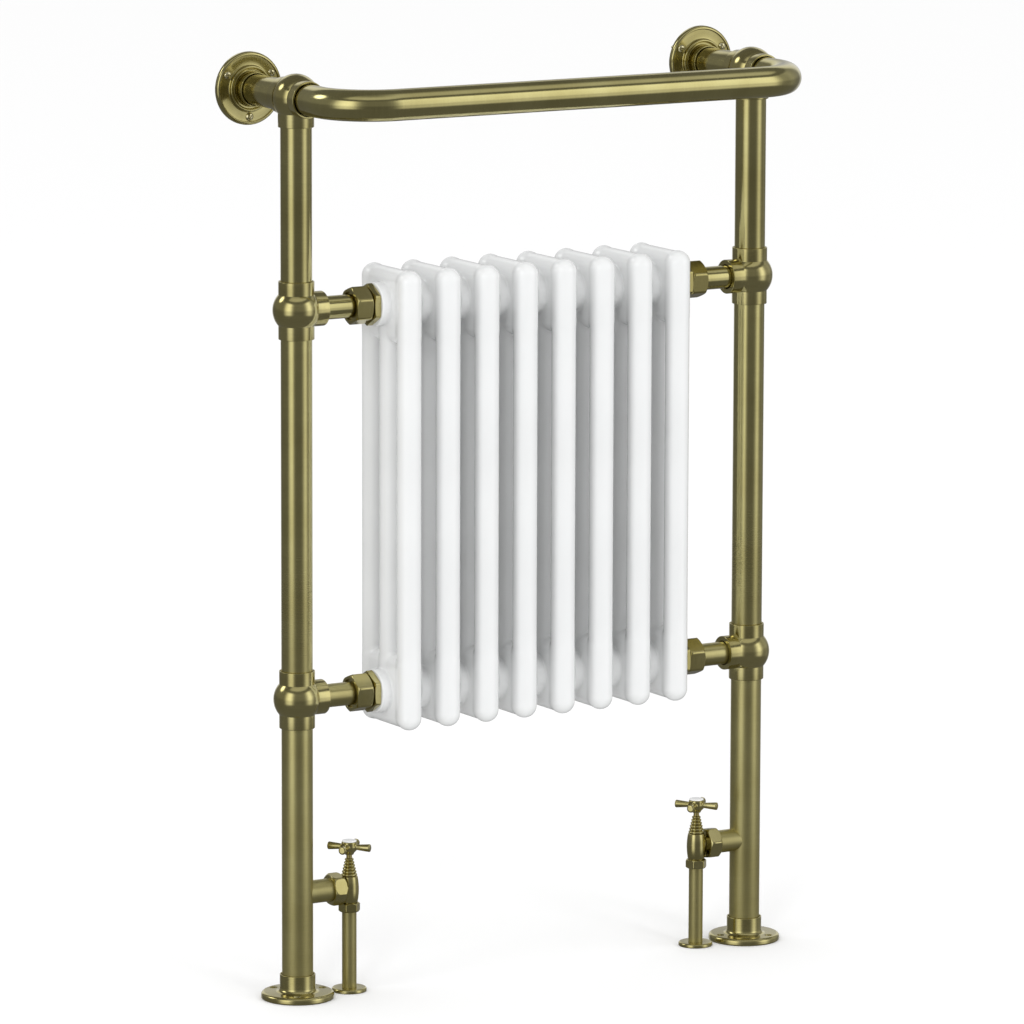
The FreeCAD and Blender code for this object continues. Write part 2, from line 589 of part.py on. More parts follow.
def radiator_section(number):
    """One hollow steel section: three columns between two headers, with a boss at each header.
    Local origin: the axis of the lower boss, in the middle of the section."""
    name = "section_%d" % number
    span = "(upper_tee_height - lower_tee_height)"

    def shape(part, skin):
        """The section's outside when skin is 0, or its hollow when skin is the sheet's thickness."""
        across = "(column_od - 2*%s)" % skin
        pieces = []
        for row in (-1, 0, 1):
            column = "%s_%s_column_%d" % (name, part, row + 1)
            y = "%d*column_spacing" % row
            rise = "column_rise" if row else "0"
            pieces.append(rod(column, across, "%s + 2*%s" % (span, rise), y=y, z="-" + rise))
            if row:
                pieces.append(ball(column + "_foot", across, y=y, z="-column_rise"))
                pieces.append(ball(column + "_head", across, y=y, z=span + " + column_rise"))
        width = "(web_width - 2*%s)" % skin
        ridge = "(web_rise - web_width/2)"
        lip = "(web_drop - web_width/2)"
        for end, low, high in (("foot", "-" + ridge, lip),
                               ("head", "(%s - %s)" % (span, lip), "(%s + %s)" % (span, ridge))):
            web = "%s_%s_web_%s" % (name, part, end)
            pieces.append(block(web, width, "2*column_spacing", "(%s + %s)" % (ridge, lip),
                                x="-%s/2" % width, y="-column_spacing", z=low))
            for edge, level in (("low", low), ("high", high)):
                pieces.append(rod("%s_%s_edge" % (web, edge), width, "2*column_spacing", y="-column_spacing",
                                  z=level, turn=ALONG_Y))
        return pieces

    outside = shape("skin", "0")
    inside = shape("hollow", "section_wall")
    for end, level in (("foot", "0"), ("head", span)):
        length = "(section_pitch - section_gap)"
        outside.append(rod("%s_boss_%s" % (name, end), "boss_od", length, x="-%s/2" % length, z=level, turn=ALONG_X))
        through = "(%s + 2*%s)" % (length, CUT_PAST)
        inside.append(rod("%s_thread_%s" % (name, end), "nipple_od + 2*solder_gap", through,
                          x="-%s/2" % through, z=level, turn=ALONG_X))
    piece = cut(name, fused(name + "_outside", outside), inside)
    steps_from_middle = number - (SECTION_COUNT + 1) / 2
    put(piece, x="%g*section_pitch" % steps_from_middle, y=POST_Y, z="lower_tee_height")
    node(piece, "radiator_section_%d" % number)


def section_nipples():
    """Threaded nipples that pull each section to the next, at the top and the bottom."""
    nipples = []
    for joint in range(1, SECTION_COUNT):
        for level in ("lower", "upper"):
            nipples.append(pipe_length(
                "nipple_%s_%d" % (level, joint), "nipple_od", "nipple_wall", "-nipple_length/2", "nipple_length/2",
                x="%g*section_pitch" % (joint - SECTION_COUNT / 2), y=POST_Y, z=level + "_tee_height", turn=ALONG_X))
    node(grouped("nipple_group", nipples), "section_nipples")


def radiator_unions():
    """Four unions from the tees to the radiator's bosses. Local Z leaves the boss."""
    tails, nuts, bushes, seals = [], [], [], []
    tail_bore = "tail_od/2 - tail_wall"
    flange = "(union_thread_od/2 - 0.2)"
    nut_start = "(bush_plate + union_play)"
    nut_bore = "union_thread_od + 2*solder_gap"
    nut_step = "(%s + solder_gap)" % TAIL_TOP
    tail_end = "(post_spacing/2 - %s - collar_reach + socket_depth - solder_gap)" % BOSS_FACE
    for side_name, side in SIDES:
        outwards = ALONG_X if side > 0 else AGAINST_X
        for level in ("lower", "upper"):
            name = "%s_%s" % (level, side_name)
            place = {"x": "%d*%s" % (side, BOSS_FACE), "y": POST_Y, "z": level + "_tee_height", "turn": outwards}
            tails.append(turned("tail_" + name, [
                (tail_bore, TAIL_START), (flange, TAIL_START), (flange, TAIL_TOP), ("tail_od/2", TAIL_TOP),
                ("tail_od/2", tail_end), (tail_bore, tail_end)], **place))
            seals.append(turned("seal_" + name, [
                (tail_bore, SEAL_START), (flange, SEAL_START), (flange, TAIL_START), (tail_bore, TAIL_START)], **place))
            bush_hex = hexagon("bush_hex_" + name, "bush_flats", "bush_plate", spin=0, bevel="1.6")
            bush_male = hole("bush_male_" + name, "nipple_od", "-bush_thread", "bush_plate/2")
            bush_nose = hole("bush_nose_" + name, "union_thread_od", "bush_plate/2", SEAL_START)
            bush_bore = hole("bush_bore_" + name, "tail_od - 2*tail_wall", "-bush_thread - " + CUT_PAST,
                             SEAL_START + " + " + CUT_PAST)
            bushes.append(put(cut("bush_" + name, fused("bush_solid_" + name, [bush_hex, bush_male, bush_nose]),
                                  [bush_bore]), **place))
            nut_hex = hexagon("nut_hex_" + name, "union_flats", "union_length", spin=22, bevel="2")
            put(nut_hex, z=nut_start)
            nut_thread = hole("nut_thread_" + name, nut_bore, nut_start + " - " + CUT_PAST, nut_step)
            nut_mouth = hole("nut_mouth_" + name, "tail_od + 4*solder_gap", nut_start,
                             nut_start + " + union_length + " + CUT_PAST)
            nuts.append(put(cut("nut_" + name, nut_hex, [nut_thread, nut_mouth]), **place))
    node(grouped("tail_group", tails), "union_tails")
    node(grouped("union_nut_group", nuts), "union_nuts")
    node(grouped("bush_group", bushes), "radiator_bushes")
    node(grouped("union_seal_group", seals), "union_seals")


# ---------------------------------------------------------------- angle valves

NUT_END = "(valve_offset - barrel_end_od/2 - barrel_bulge - nut_end_play)"    # from the post's axis
PORT_END = "(%s - port_thread)" % NUT_END
BRANCH_END = "(%s - seal_thickness)" % PORT_END


def valve_branches():
    """A flanged branch tube brazed into each post; the valve's union nut pulls on its flange."""
    seals, nuts = [], []
    bore = "branch_od/2 - branch_wall"
    flange = "(port_thread_od/2 - 2*solder_gap)"
    shoulder = "(%s - tail_flange)" % BRANCH_END
    start = "(tube_od/2 - tube_wall - 1)"
    for name, side in SIDES:
        inwards = AGAINST_X if side > 0 else ALONG_X
        place = {"x": post_x(side), "y": POST_Y, "z": "port_height", "turn": inwards}
        branch = turned("branch_" + name, [
            (bore, start), ("branch_od/2", start), ("branch_od/2", shoulder), (flange, shoulder),
            (flange, BRANCH_END), (bore, BRANCH_END)], **place)
        node(branch, "valve_branch_" + name)
        seals.append(turned("valve_seal_" + name, [
            (bore, BRANCH_END), (flange, BRANCH_END), (flange, PORT_END), (bore, PORT_END)], **place))
        nut_hex = hexagon("valve_nut_hex_" + name, "nut_flats", "nut_length", spin=10, bevel="2",
                          z=NUT_END + " - nut_length")
        thread = hole("valve_nut_thread_" + name, "port_thread_od + 2*solder_gap", shoulder + " - solder_gap",
                      NUT_END + " + " + CUT_PAST)
        mouth = hole("valve_nut_mouth_" + name, "branch_od + 4*solder_gap",
                     NUT_END + " - nut_length - " + CUT_PAST, NUT_END)
        nuts.append(put(cut("valve_nut_" + name, nut_hex, [thread, mouth]), **place))
    node(grouped("valve_seal_group", seals), "valve_union_seals")
    node(grouped("valve_nut_group", nuts), "valve_union_nuts")


def valve_place(side, z):
    return {"x": post_x(side, "valve_offset"), "y": POST_Y, "z": z, "turn": HALF_TURN if side > 0 else Rotation()}


def valve_body(name, side):
    """Barrel with a threaded foot for the pipe and a threaded port towards the post, local -X."""
    foot = "-(barrel_below + foot_thread)"
    corners = [("0", foot), ("foot_thread_od/2", foot), ("foot_thread_od/2", "-barrel_below"),
               ("barrel_end_od/2", "-barrel_below"), ("barrel_end_od/2", "barrel_above"), ("0", "barrel_above")]
    barrel = turned("barrel_" + name, corners, bulges=[(3, "barrel_bulge")])
    reach = "(valve_offset - %s)" % PORT_END
    thread = rod("port_thread_" + name, "port_thread_od", "port_thread", x="-" + reach, turn=ALONG_X)
    neck = rod("port_neck_" + name, "port_neck_od", "(valve_offset - %s + 1)" % NUT_END,
               x="-(valve_offset - %s + 1)" % NUT_END, turn=ALONG_X)
    tools = [hole("port_bore_" + name, "port_bore", "-%s - %s" % (reach, CUT_PAST), "0", turn=ALONG_X, side="x"),
             hole("chamber_" + name, "chamber_od", "-seat_drop", "barrel_above + " + CUT_PAST),
             hole("seat_bore_" + name, "seat_bore", "-%s - %s" % (PIPE_END, CUT_PAST), "0"),
             hole("pipe_socket_" + name, "pipe_od + 2*solder_gap", foot + " - " + CUT_PAST, "-" + PIPE_END)]
    body = cut("valve_body_solid_" + name, fused("valve_body_outside_" + name, [barrel, thread, neck]), tools)
    node(put(body, **valve_place(side, "port_height")), "valve_body_" + name)


def supply_side(name, side):
    """Supply pipe up to the seat's web; returns the olive, the nut and the floor rose."""
    top = "(port_height - %s - solder_gap)" % PIPE_END
    nut_top = "(port_height - barrel_below - gland_play)"
    nut_foot = "(%s - gland_length)" % nut_top
    spigot_end = "(port_height - barrel_below - foot_thread)"
    pipe = pipe_length("pipe_" + name, "pipe_od", "pipe_wall", "0", top, **valve_place(side, "0"))
    node(pipe, "supply_pipe_" + name)
    bore = "(pipe_od/2 + solder_gap)"
    floor = "(%s + gland_floor)" % nut_foot
    middle = "(%s + %s)/2" % (floor, spigot_end)
    olive = turned("olive_" + name, [
        (bore, floor), (bore + " + 0.25", floor), ("foot_thread_od/2 - 0.1", middle), (bore + " + 0.25", spigot_end),
        (bore, spigot_end)], **valve_place(side, "0"))
    nut_hex = hexagon("gland_hex_" + name, "gland_flats", "gland_length", spin=15, bevel="1.3", z=nut_foot)
    thread = hole("gland_thread_" + name, "foot_thread_od + 2*solder_gap", floor, nut_top + " + " + CUT_PAST)
    mouth = hole("gland_mouth_" + name, "pipe_od + 4*solder_gap", nut_foot + " - " + CUT_PAST, nut_top)
    nut = put(cut("gland_" + name, nut_hex, [thread, mouth]), **valve_place(side, "0"))
    rose = turned("rose_" + name, [
        ("pipe_od/2 + 3*solder_gap", "0"), ("rose_od/2", "0"), ("rose_od/2", "rose_height"),
        ("pipe_od/2 + 3*solder_gap", "rose_height")], **valve_place(side, "0"))
    rounded(rose, [("rose_od/2", "rose_height", "rose_height/2")])
    return olive, nut, rose


def bonnet(name, side):
    """Stepped cone screwed into the barrel. Local origin: the top of the barrel."""
    steps = 6
    rise = "bonnet_height/%d" % steps
    narrowing = "(bonnet_od - bonnet_top_od)/%d" % (2 * (steps - 1))
    plug = "(chamber_od/2 - solder_gap)"
    corners = [("0", "-bonnet_plug"), (plug, "-bonnet_plug"), (plug, "0")]
    for step in range(steps):
        across = "bonnet_od/2 - %d*%s" % (step, narrowing)
        corners += [(across, "%d*%s" % (step, rise) if step else "0"), (across + " - 0.2", "%d*%s" % (step + 1, rise))]
    corners.append(("0", "bonnet_height"))
    cone = turned("bonnet_cone_" + name, corners)
    guide = "(guide_width + 2*guide_play)"
    play = "spindle_collar + collar_play"
    tools = [hole("spindle_bore_" + name, "spindle_od + 2*running_gap", "0", "bonnet_height + " + CUT_PAST),
             block("guide_slot_" + name, guide, guide, "bonnet_plug + guide_top + " + CUT_PAST,
                   x="-%s/2" % guide, y="-%s/2" % guide, z="-bonnet_plug - " + CUT_PAST),
             hole("collar_recess_" + name, guide, "guide_top - 1", "guide_top + " + play),
             hole("ring_recess_" + name, "ring_outer", "ring_level", "ring_level + ring_groove")]
    node(put(cut("bonnet_solid_" + name, cone, tools), **valve_place(side, BARREL_TOP)), "bonnet_" + name)
    ring = turned("packing_" + name, [
        ("spindle_od/2 + running_gap", "ring_level + 0.1"), ("ring_outer/2 - solder_gap", "ring_level + 0.1"),
        ("ring_outer/2 - solder_gap", "ring_level + ring_groove - 0.1"),
        ("spindle_od/2 + running_gap", "ring_level + ring_groove - 0.1")], **valve_place(side, BARREL_TOP))
    return ring


def spindle_and_jumper(name, side):
    """The spindle turns without rising; its thread lifts the square-sleeved jumper off the seat."""
    collar_top = "guide_top + spindle_collar + collar_play/2"
    top = "(bonnet_height + neck_gap + hub_bore_depth - solder_gap)"
    screw = "handle_screw_od/2 + solder_gap"
    depth = "(%s - handle_screw_length - 1)" % top
    spindle = turned("spindle_rod_" + name, [
        ("0", "-spindle_drop"), ("drive_thread_od/2", "-spindle_drop"), ("drive_thread_od/2", "guide_top + collar_play/2"),
        ("spindle_collar_od/2", "guide_top + collar_play/2"), ("spindle_collar_od/2", collar_top),
        ("spindle_od/2", collar_top), ("spindle_od/2", top), (screw, top), (screw, depth), ("0", depth)],
        **valve_place(side, BARREL_TOP))
    node(spindle, "spindle_" + name)
    seat = "-(barrel_above + seat_drop)"
    washer_foot = "(%s + seat_gap)" % seat
    disc_foot = "(%s + jumper_washer)" % washer_foot
    sleeve_foot = "(%s + jumper_disc)" % disc_foot
    washer = turned("jumper_washer_" + name, [
        ("0", washer_foot), ("jumper_washer_od/2", washer_foot), ("jumper_washer_od/2", disc_foot), ("0", disc_foot)],
        **valve_place(side, BARREL_TOP))
    disc = hole("jumper_disc_" + name, "jumper_od", disc_foot, sleeve_foot)
    sleeve = block("jumper_sleeve_" + name, "guide_width", "guide_width", "jumper_sleeve",
                   x="-guide_width/2", y="-guide_width/2", z=sleeve_foot)
    thread = hole("jumper_thread_" + name, "drive_thread_od + 2*running_gap", sleeve_foot + " + jumper_end",
                  sleeve_foot + " + jumper_sleeve + " + CUT_PAST)
    jumper = cut("jumper_solid_" + name, fused("jumper_outside_" + name, [disc, sleeve]), [thread])
    node(put(jumper, **valve_place(side, BARREL_TOP)), "jumper_" + name)
    node(washer, "jumper_washer_" + name)


def handle(name, side):
    """Four-armed crosshead on the spindle, its screw, and the index disc that hides the screw."""
    bore = "spindle_od/2 + solder_gap"
    floor_top = "hub_bore_depth + hub_floor"
    recess = "disc_skirt_od/2 + solder_gap"
    screw = "handle_screw_od/2 + 2*solder_gap"
    hub = turned("hub_" + name, [
        (bore, "0"), ("hub_foot_od/2", "0"), ("hub_foot_od/2 + 0.5", "1.6"), ("hub_od/2 - 0.5", "arm_level/2"),
        ("hub_od/2", "arm_level"), ("hub_od/2", "hub_height - 1"), ("hub_od/2 - 0.6", "hub_height"),
        (recess, "hub_height"), (recess, floor_top), (screw, floor_top), (screw, "hub_bore_depth"),
        (bore, "hub_bore_depth")])
    root = "(hub_od/2 - 1)"
    arms = []
    for number in range(4):
        angle = math.radians(90 * number + value("arm_turn"))
        outwards = Rotation(Vector(0, 0, 1), Vector(math.cos(angle), math.sin(angle), 0))
        arms.append(turned("arm_%s_%d" % (name, number), [
            ("0", root), ("arm_root_od/2", root), ("arm_root_od/2", root + " + 1.6"), ("arm_end_od/2", "arm_length - 1.2"),
            ("arm_end_od/2 - 0.5", "arm_length - 0.3"), ("arm_end_od/2 - 1.3", "arm_length"), ("0", "arm_length")],
            z="arm_level", turn=outwards))
    spinning = Rotation(Vector(0, 0, 1), 0)
    place = dict(valve_place(side, HUB_FOOT), turn=spinning)
    node(put(fused("crosshead_" + name, [hub] + arms), **place), "handle_" + name)
    head_foot = "(%s + solder_gap)" % floor_top
    node(turned("handle_screw_" + name, [
        ("0", head_foot + " - handle_screw_length"), ("handle_screw_od/2", head_foot + " - handle_screw_length"),
        ("handle_screw_od/2", head_foot), ("handle_screw_head/2", head_foot),
        ("handle_screw_head/2", head_foot + " + 1.4"), ("handle_screw_head/2 - 0.8", head_foot + " + 2"),
        ("0", head_foot + " + 2")], **place), "handle_screw_" + name)
    disc_foot = "hub_height - disc_skirt"
    node(turned("disc_" + name, [
        ("0", disc_foot), ("disc_skirt_od/2", disc_foot), ("disc_skirt_od/2", "hub_height + solder_gap"),
        ("disc_od/2", "hub_height + solder_gap"), ("disc_od/2", "hub_height + disc_rim/2"),
        ("disc_od/2 - 0.8", "hub_height + disc_rim"), ("0", "hub_height + disc_rim")], **place), "index_disc_" + name)


# ---------------------------------------------------------------- the whole assembly

for side_name, side in SIDES:
    floor_flange("floor_flange_" + side_name, side)
    posts(side_name, side)
    tees_and_cross(side_name, side)
    wall_stay(side_name, side)
    wall_flange(side_name, side)
wall_screws()
towel_rail()
for number in range(1, SECTION_COUNT + 1):
    radiator_section(number)
section_nipples()
radiator_unions()
valve_branches()
olives, glands, roses, rings = [], [], [], []
for side_name, side in SIDES:
    valve_body(side_name, side)
    olive, gland, rose = supply_side(side_name, side)
    olives.append(olive)
    glands.append(gland)
    roses.append(rose)
    rings.append(bonnet(side_name, side))
    spindle_and_jumper(side_name, side)
    handle(side_name, side)
node(grouped("olive_group", olives), "olives")
node(grouped("gland_group", glands), "compression_nuts")
node(grouped("rose_group", roses), "floor_roses")
node(grouped("ring_group", rings), "packing_rings")

doc.recompute()
failed = [item.Label for item in doc.Objects if "Invalid" in item.State or "Error" in item.State]
assert not failed, failed
assert len({piece.Label for piece in nodes}) == len(nodes) <= 60
for piece in nodes:
    assert not piece.Shape.isNull() and piece.Shape.isValid(), piece.Label
os.makedirs("parts", exist_ok=True)
for piece in nodes:
    piece.Shape.exportStep("parts/%s.step" % piece.Label)
    box = piece.Shape.BoundBox
    print("%-24s %3d solids %10.1f mm3  x %7.1f %7.1f  y %7.1f %7.1f  z %7.1f %7.1f" % (
        piece.Label, len(piece.Shape.Solids), piece.Shape.Volume, box.XMin, box.XMax, box.YMin, box.YMax,
        box.ZMin, box.ZMax))
print(len(nodes), "nodes")
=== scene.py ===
import math
import bmesh
import bpy
import numpy as np
from mathutils import Matrix, Vector


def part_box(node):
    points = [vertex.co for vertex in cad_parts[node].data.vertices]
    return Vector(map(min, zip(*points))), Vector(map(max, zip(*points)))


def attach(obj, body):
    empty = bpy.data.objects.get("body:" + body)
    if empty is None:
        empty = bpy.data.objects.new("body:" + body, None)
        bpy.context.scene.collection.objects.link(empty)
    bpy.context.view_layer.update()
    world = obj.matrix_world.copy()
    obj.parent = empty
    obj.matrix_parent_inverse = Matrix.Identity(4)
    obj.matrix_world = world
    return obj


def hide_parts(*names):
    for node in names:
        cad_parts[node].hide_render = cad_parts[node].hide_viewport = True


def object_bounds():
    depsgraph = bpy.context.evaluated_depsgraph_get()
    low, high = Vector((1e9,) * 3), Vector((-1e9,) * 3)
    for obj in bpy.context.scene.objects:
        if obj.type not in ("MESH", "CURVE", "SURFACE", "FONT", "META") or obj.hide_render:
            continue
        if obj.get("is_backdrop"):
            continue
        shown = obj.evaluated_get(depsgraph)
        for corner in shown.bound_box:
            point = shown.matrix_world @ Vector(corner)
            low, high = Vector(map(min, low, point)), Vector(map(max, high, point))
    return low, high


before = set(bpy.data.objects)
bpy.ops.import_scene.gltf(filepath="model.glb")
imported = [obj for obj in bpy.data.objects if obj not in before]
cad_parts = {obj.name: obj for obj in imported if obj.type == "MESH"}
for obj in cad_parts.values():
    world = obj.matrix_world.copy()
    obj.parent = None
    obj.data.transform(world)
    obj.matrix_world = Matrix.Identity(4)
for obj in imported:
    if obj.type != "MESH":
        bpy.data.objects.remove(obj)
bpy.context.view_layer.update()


# ---- Camera. A long lens on a stand to the left of the front, a little above the rack's middle and
# aimed down at it between the posts; it leans a sixth of a degree.

def middle(node_name):
    """The centre of a CAD node's box."""
    low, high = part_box(node_name)
    return (low + high) / 2


posts_y = middle("middle_post_left").y
camera_yaw, camera_pitch, camera_roll = math.radians(30.53), math.radians(9.6), math.radians(0.175)
camera_aim = Vector((-0.0171, posts_y, 0.4827))
camera_away = 7.477
camera_data = bpy.data.cameras.new("camera")
camera_data.lens = 255.2
camera_data.sensor_width = 36
camera_data.clip_end = 200
camera = bpy.data.objects.new("camera", camera_data)
bpy.context.scene.collection.objects.link(camera)
towards_camera = Vector((-math.sin(camera_yaw) * math.cos(camera_pitch),
                         -math.cos(camera_yaw) * math.cos(camera_pitch), math.sin(camera_pitch)))
camera.location = camera_aim + towards_camera * camera_away
camera.rotation_mode = "QUATERNION"
camera.rotation_quaternion = ((-towards_camera).to_track_quat("-Z", "Y").to_matrix()
                              @ Matrix.Rotation(camera_roll, 3, "Z")).to_quaternion()
bpy.context.scene.camera = camera


# ---- Studio. A pale seamless floor under an even dome and three soft lamps. Tall white panels stand
# round the rack and are what the brass mirrors as lengthwise streaks; only glossy surfaces see them.

def linear(code):
    """An sRGB hex colour as linear red, green, blue and alpha."""
    parts = [int(code[i:i + 2], 16) / 255 for i in (1, 3, 5)]
    return tuple(c / 12.92 if c <= 0.04045 else ((c + 0.055) / 1.055) ** 2.4 for c in parts) + (1.0,)


def grey(level):
    """A neutral linear colour."""
    return (level, level, level, 1.0)


def add(tree, kind, settings=None, links=None, stops=(), **attributes):
    """Add one shader node: settings are its sockets' values, links its inputs, attributes its options
    and stops the (position, colour) pairs of a colour ramp."""
    node = tree.nodes.new(kind)
    for key, setting in attributes.items():
        setattr(node, key, setting)
    for socket, setting in (settings or {}).items():
        node.inputs[socket].default_value = setting
    for socket, source in (links or {}).items():
        tree.links.new(source, node.inputs[socket])
    elements = node.color_ramp.elements if stops else ()
    while len(elements) < len(stops):
        elements.new(0.5)
    for element, (position, colour) in zip(elements, stops):
        element.position = position
        element.color = colour
    return node


scene = bpy.context.scene
scene.view_settings.view_transform = "Standard"
scene.world = bpy.data.worlds.new("studio")
scene.world.use_nodes = True
tree = scene.world.node_tree
tree.nodes.clear()
direction = add(tree, "ShaderNodeTexCoord").outputs["Generated"]
around = add(tree, "ShaderNodeTexGradient", links={"Vector": direction},
             gradient_type="RADIAL").outputs["Fac"]
height = add(tree, "ShaderNodeSeparateXYZ", links={"Vector": direction}).outputs["Z"]
lift = add(tree, "ShaderNodeMapRange", {"From Min": -1.0, "From Max": 1.0},
           {"Value": height}).outputs["Result"]
# brightness round the horizon, in degrees to the right of the camera as the rack faces it
PANELS = ((-180, 0.30), (-168, 0.62), (-156, 0.62), (-146, 0.14), (-110, 0.17), (-68, 0.17),
          (-58, 0.42), (-50, 0.84), (-42, 1.08), (-34, 1.15), (-27, 1.04), (-19, 0.50), (-12, 0.22),
          (-4, 0.15), (33, 0.15), (42, 0.20), (50, 0.38), (58, 0.72), (66, 0.98), (75, 0.92),
          (84, 0.52), (94, 0.26), (106, 0.24), (119, 0.30), (136, 0.22), (148, 0.20), (158, 0.60),
          (170, 0.60))
camera_turn = 0.5 + math.atan2(towards_camera.y, towards_camera.x) / (2 * math.pi)
ring = sorted(((camera_turn + degrees / 360) % 1, grey(level)) for degrees, level in PANELS)
seam = grey((ring[0][1][0] + ring[-1][1][0]) / 2)
panels = add(tree, "ShaderNodeValToRGB", links={"Fac": around},
             stops=[(0.0, seam)] + ring + [(1.0, seam)]).outputs["Color"]
# the panels are brighter in their upper half and stand from the floor up to 37 degrees
taller = add(tree, "ShaderNodeValToRGB", links={"Fac": lift},
             stops=[(0.0, grey(0.92)), (0.47, grey(0.92)), (0.54, grey(1.4)), (1.0, grey(1.4))])
panels = add(tree, "ShaderNodeMix", {0: 1.0}, {6: panels, 7: taller.outputs["Color"]}, data_type="RGBA",
             blend_type="MULTIPLY").outputs[2]
standing = add(tree, "ShaderNodeValToRGB", links={"Fac": lift},
               stops=[(0.0, grey(0.0)), (0.30, grey(0.0)), (0.37, grey(1.0)), (0.77, grey(1.0)),
                      (0.80, grey(0.0))]).outputs["Color"]
# over the front half hangs a ceiling panel; the rest of the room is dim
overhead = add(tree, "ShaderNodeValToRGB", links={"Fac": around},
               stops=[(0.0, grey(0.14)), (0.05, grey(0.6)), (0.46, grey(0.6)), (0.54, grey(0.14)),
                      (1.0, grey(0.14))]).outputs["Color"]
above = add(tree, "ShaderNodeValToRGB", links={"Fac": lift},
            stops=[(0.5, grey(0.0)), (0.85, grey(0.1)), (0.88, grey(1.0)), (0.94, grey(1.0)),
                   (1.0, grey(0.3))]).outputs["Color"]
ceiling = add(tree, "ShaderNodeMix", {0: 1.0}, {6: overhead, 7: above}, data_type="RGBA",
              blend_type="MULTIPLY").outputs[2]
room = add(tree, "ShaderNodeMix", {0: 1.0, 7: grey(0.15)}, {6: ceiling}, data_type="RGBA",
           blend_type="LIGHTEN").outputs[2]
room = add(tree, "ShaderNodeMix", links={0: standing, 6: room, 7: panels}, data_type="RGBA").outputs[2]
# one small bare lamp, high on the left and a little behind, is the sharp glint on every ball
LAMP = (-0.60, 0.57, 0.56)
facing = add(tree, "ShaderNodeVectorMath", {1: LAMP}, {0: direction},
             operation="DOT_PRODUCT").outputs["Value"]
lamp = add(tree, "ShaderNodeValToRGB", links={"Fac": facing},
           stops=[(0.976, grey(0.0)), (0.994, grey(3.2))]).outputs["Color"]
mirrored = add(tree, "ShaderNodeMix", {0: 1.0}, {6: room, 7: lamp}, data_type="RGBA",
               blend_type="ADD").outputs[2]
rays = add(tree, "ShaderNodeLightPath")
dome = add(tree, "ShaderNodeBackground", {"Color": linear("#FEFEFE"), "Strength": 1.22})
gloss = add(tree, "ShaderNodeBackground", {"Strength": 1.0}, {"Color": mirrored})
plain = add(tree, "ShaderNodeBackground", {"Color": grey(1.0), "Strength": 1.0})
lit = add(tree, "ShaderNodeMixShader",
          links={0: rays.outputs["Is Glossy Ray"], 1: dome.outputs[0], 2: gloss.outputs[0]})
seen = add(tree, "ShaderNodeMixShader",
           links={0: rays.outputs["Is Camera Ray"], 1: lit.outputs[0], 2: plain.outputs[0]})
add(tree, "ShaderNodeOutputWorld", links={"Surface": seen.outputs[0]})

FLOOR_HALF = 60.0
FLOOR_DROP = 0.0002
floor_mesh = bpy.data.meshes.new("floor")
floor_mesh.from_pydata([(-FLOOR_HALF, -FLOOR_HALF, 0), (FLOOR_HALF, -FLOOR_HALF, 0),
                        (FLOOR_HALF, FLOOR_HALF, 0), (-FLOOR_HALF, FLOOR_HALF, 0)], [], [(0, 1, 2, 3)])
floor = bpy.data.objects.new("floor", floor_mesh)
scene.collection.objects.link(floor)
floor.location.z = -FLOOR_DROP
floor.visible_glossy = False
floor_paint = bpy.data.materials.new("studio_floor_paint")
floor_paint.use_nodes = True
tree = floor_paint.node_tree
tree.nodes.clear()
paint = add(tree, "ShaderNodeBsdfPrincipled", {"Base Color": grey(0.80), "Roughness": 1.0,
                                               "Specular IOR Level": 0.0})
add(tree, "ShaderNodeOutputMaterial", links={"Surface": paint.outputs[0]})
floor_mesh.materials.append(floor_paint)
floor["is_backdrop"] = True


def soft_panel(name, place, size, power):
    """A rectangular lamp that faces the middle of the rack."""
    light = bpy.data.lights.new(name, "AREA")
    light.shape = "RECTANGLE"
    light.size, light.size_y = size
    light.energy = power
    panel = bpy.data.objects.new(name, light)
    scene.collection.objects.link(panel)
    panel.location = place
    panel.rotation_mode = "QUATERNION"
    panel.rotation_quaternion = (camera_aim - Vector(place)).to_track_quat("-Z", "Y")
    panel.visible_glossy = False


soft_panel("key_panel", (-5.6, -6.2, 3.6), (1.2, 1.8), 140)
soft_panel("front_panel", (1.2, -8.2, 3.2), (1.8, 2.2), 110)
soft_panel("side_panel", (-7.6, -1.6, 4.0), (2.2, 2.6), 80)


# ---- Posts. Drawn brass tube in three lengths a side, brushed round and lacquered over an olive
# antique patina; soldered into the flange, the two ball tees and the top ball.

MM = 0.001
SIDES = (("left", -1), ("right", 1))


def softened(outline):
    """The outline with each (radius, height, rounding) corner turned into a short arc."""
    points = []
    count = len(outline)
    for i, corner in enumerate(outline):
        here = Vector(corner[:2])
        rounding = corner[2] if len(corner) > 2 else 0
        if not rounding:
            points.append(here)
            continue
        to_last = (Vector(outline[(i - 1) % count][:2]) - here).normalized()
        to_next = (Vector(outline[(i + 1) % count][:2]) - here).normalized()
        half = to_last.angle(to_next) / 2
        centre = here + (to_last + to_next).normalized() * rounding / math.sin(half)
        first = here + to_last * rounding / math.tan(half) - centre
        last = here + to_next * rounding / math.tan(half) - centre
        sweep = first.angle_signed(last)
        steps = max(3, round(abs(sweep) / math.radians(15)))
        for step in range(steps + 1):
            points.append(centre + Matrix.Rotation(-sweep * step / steps, 2) @ first)
    return points


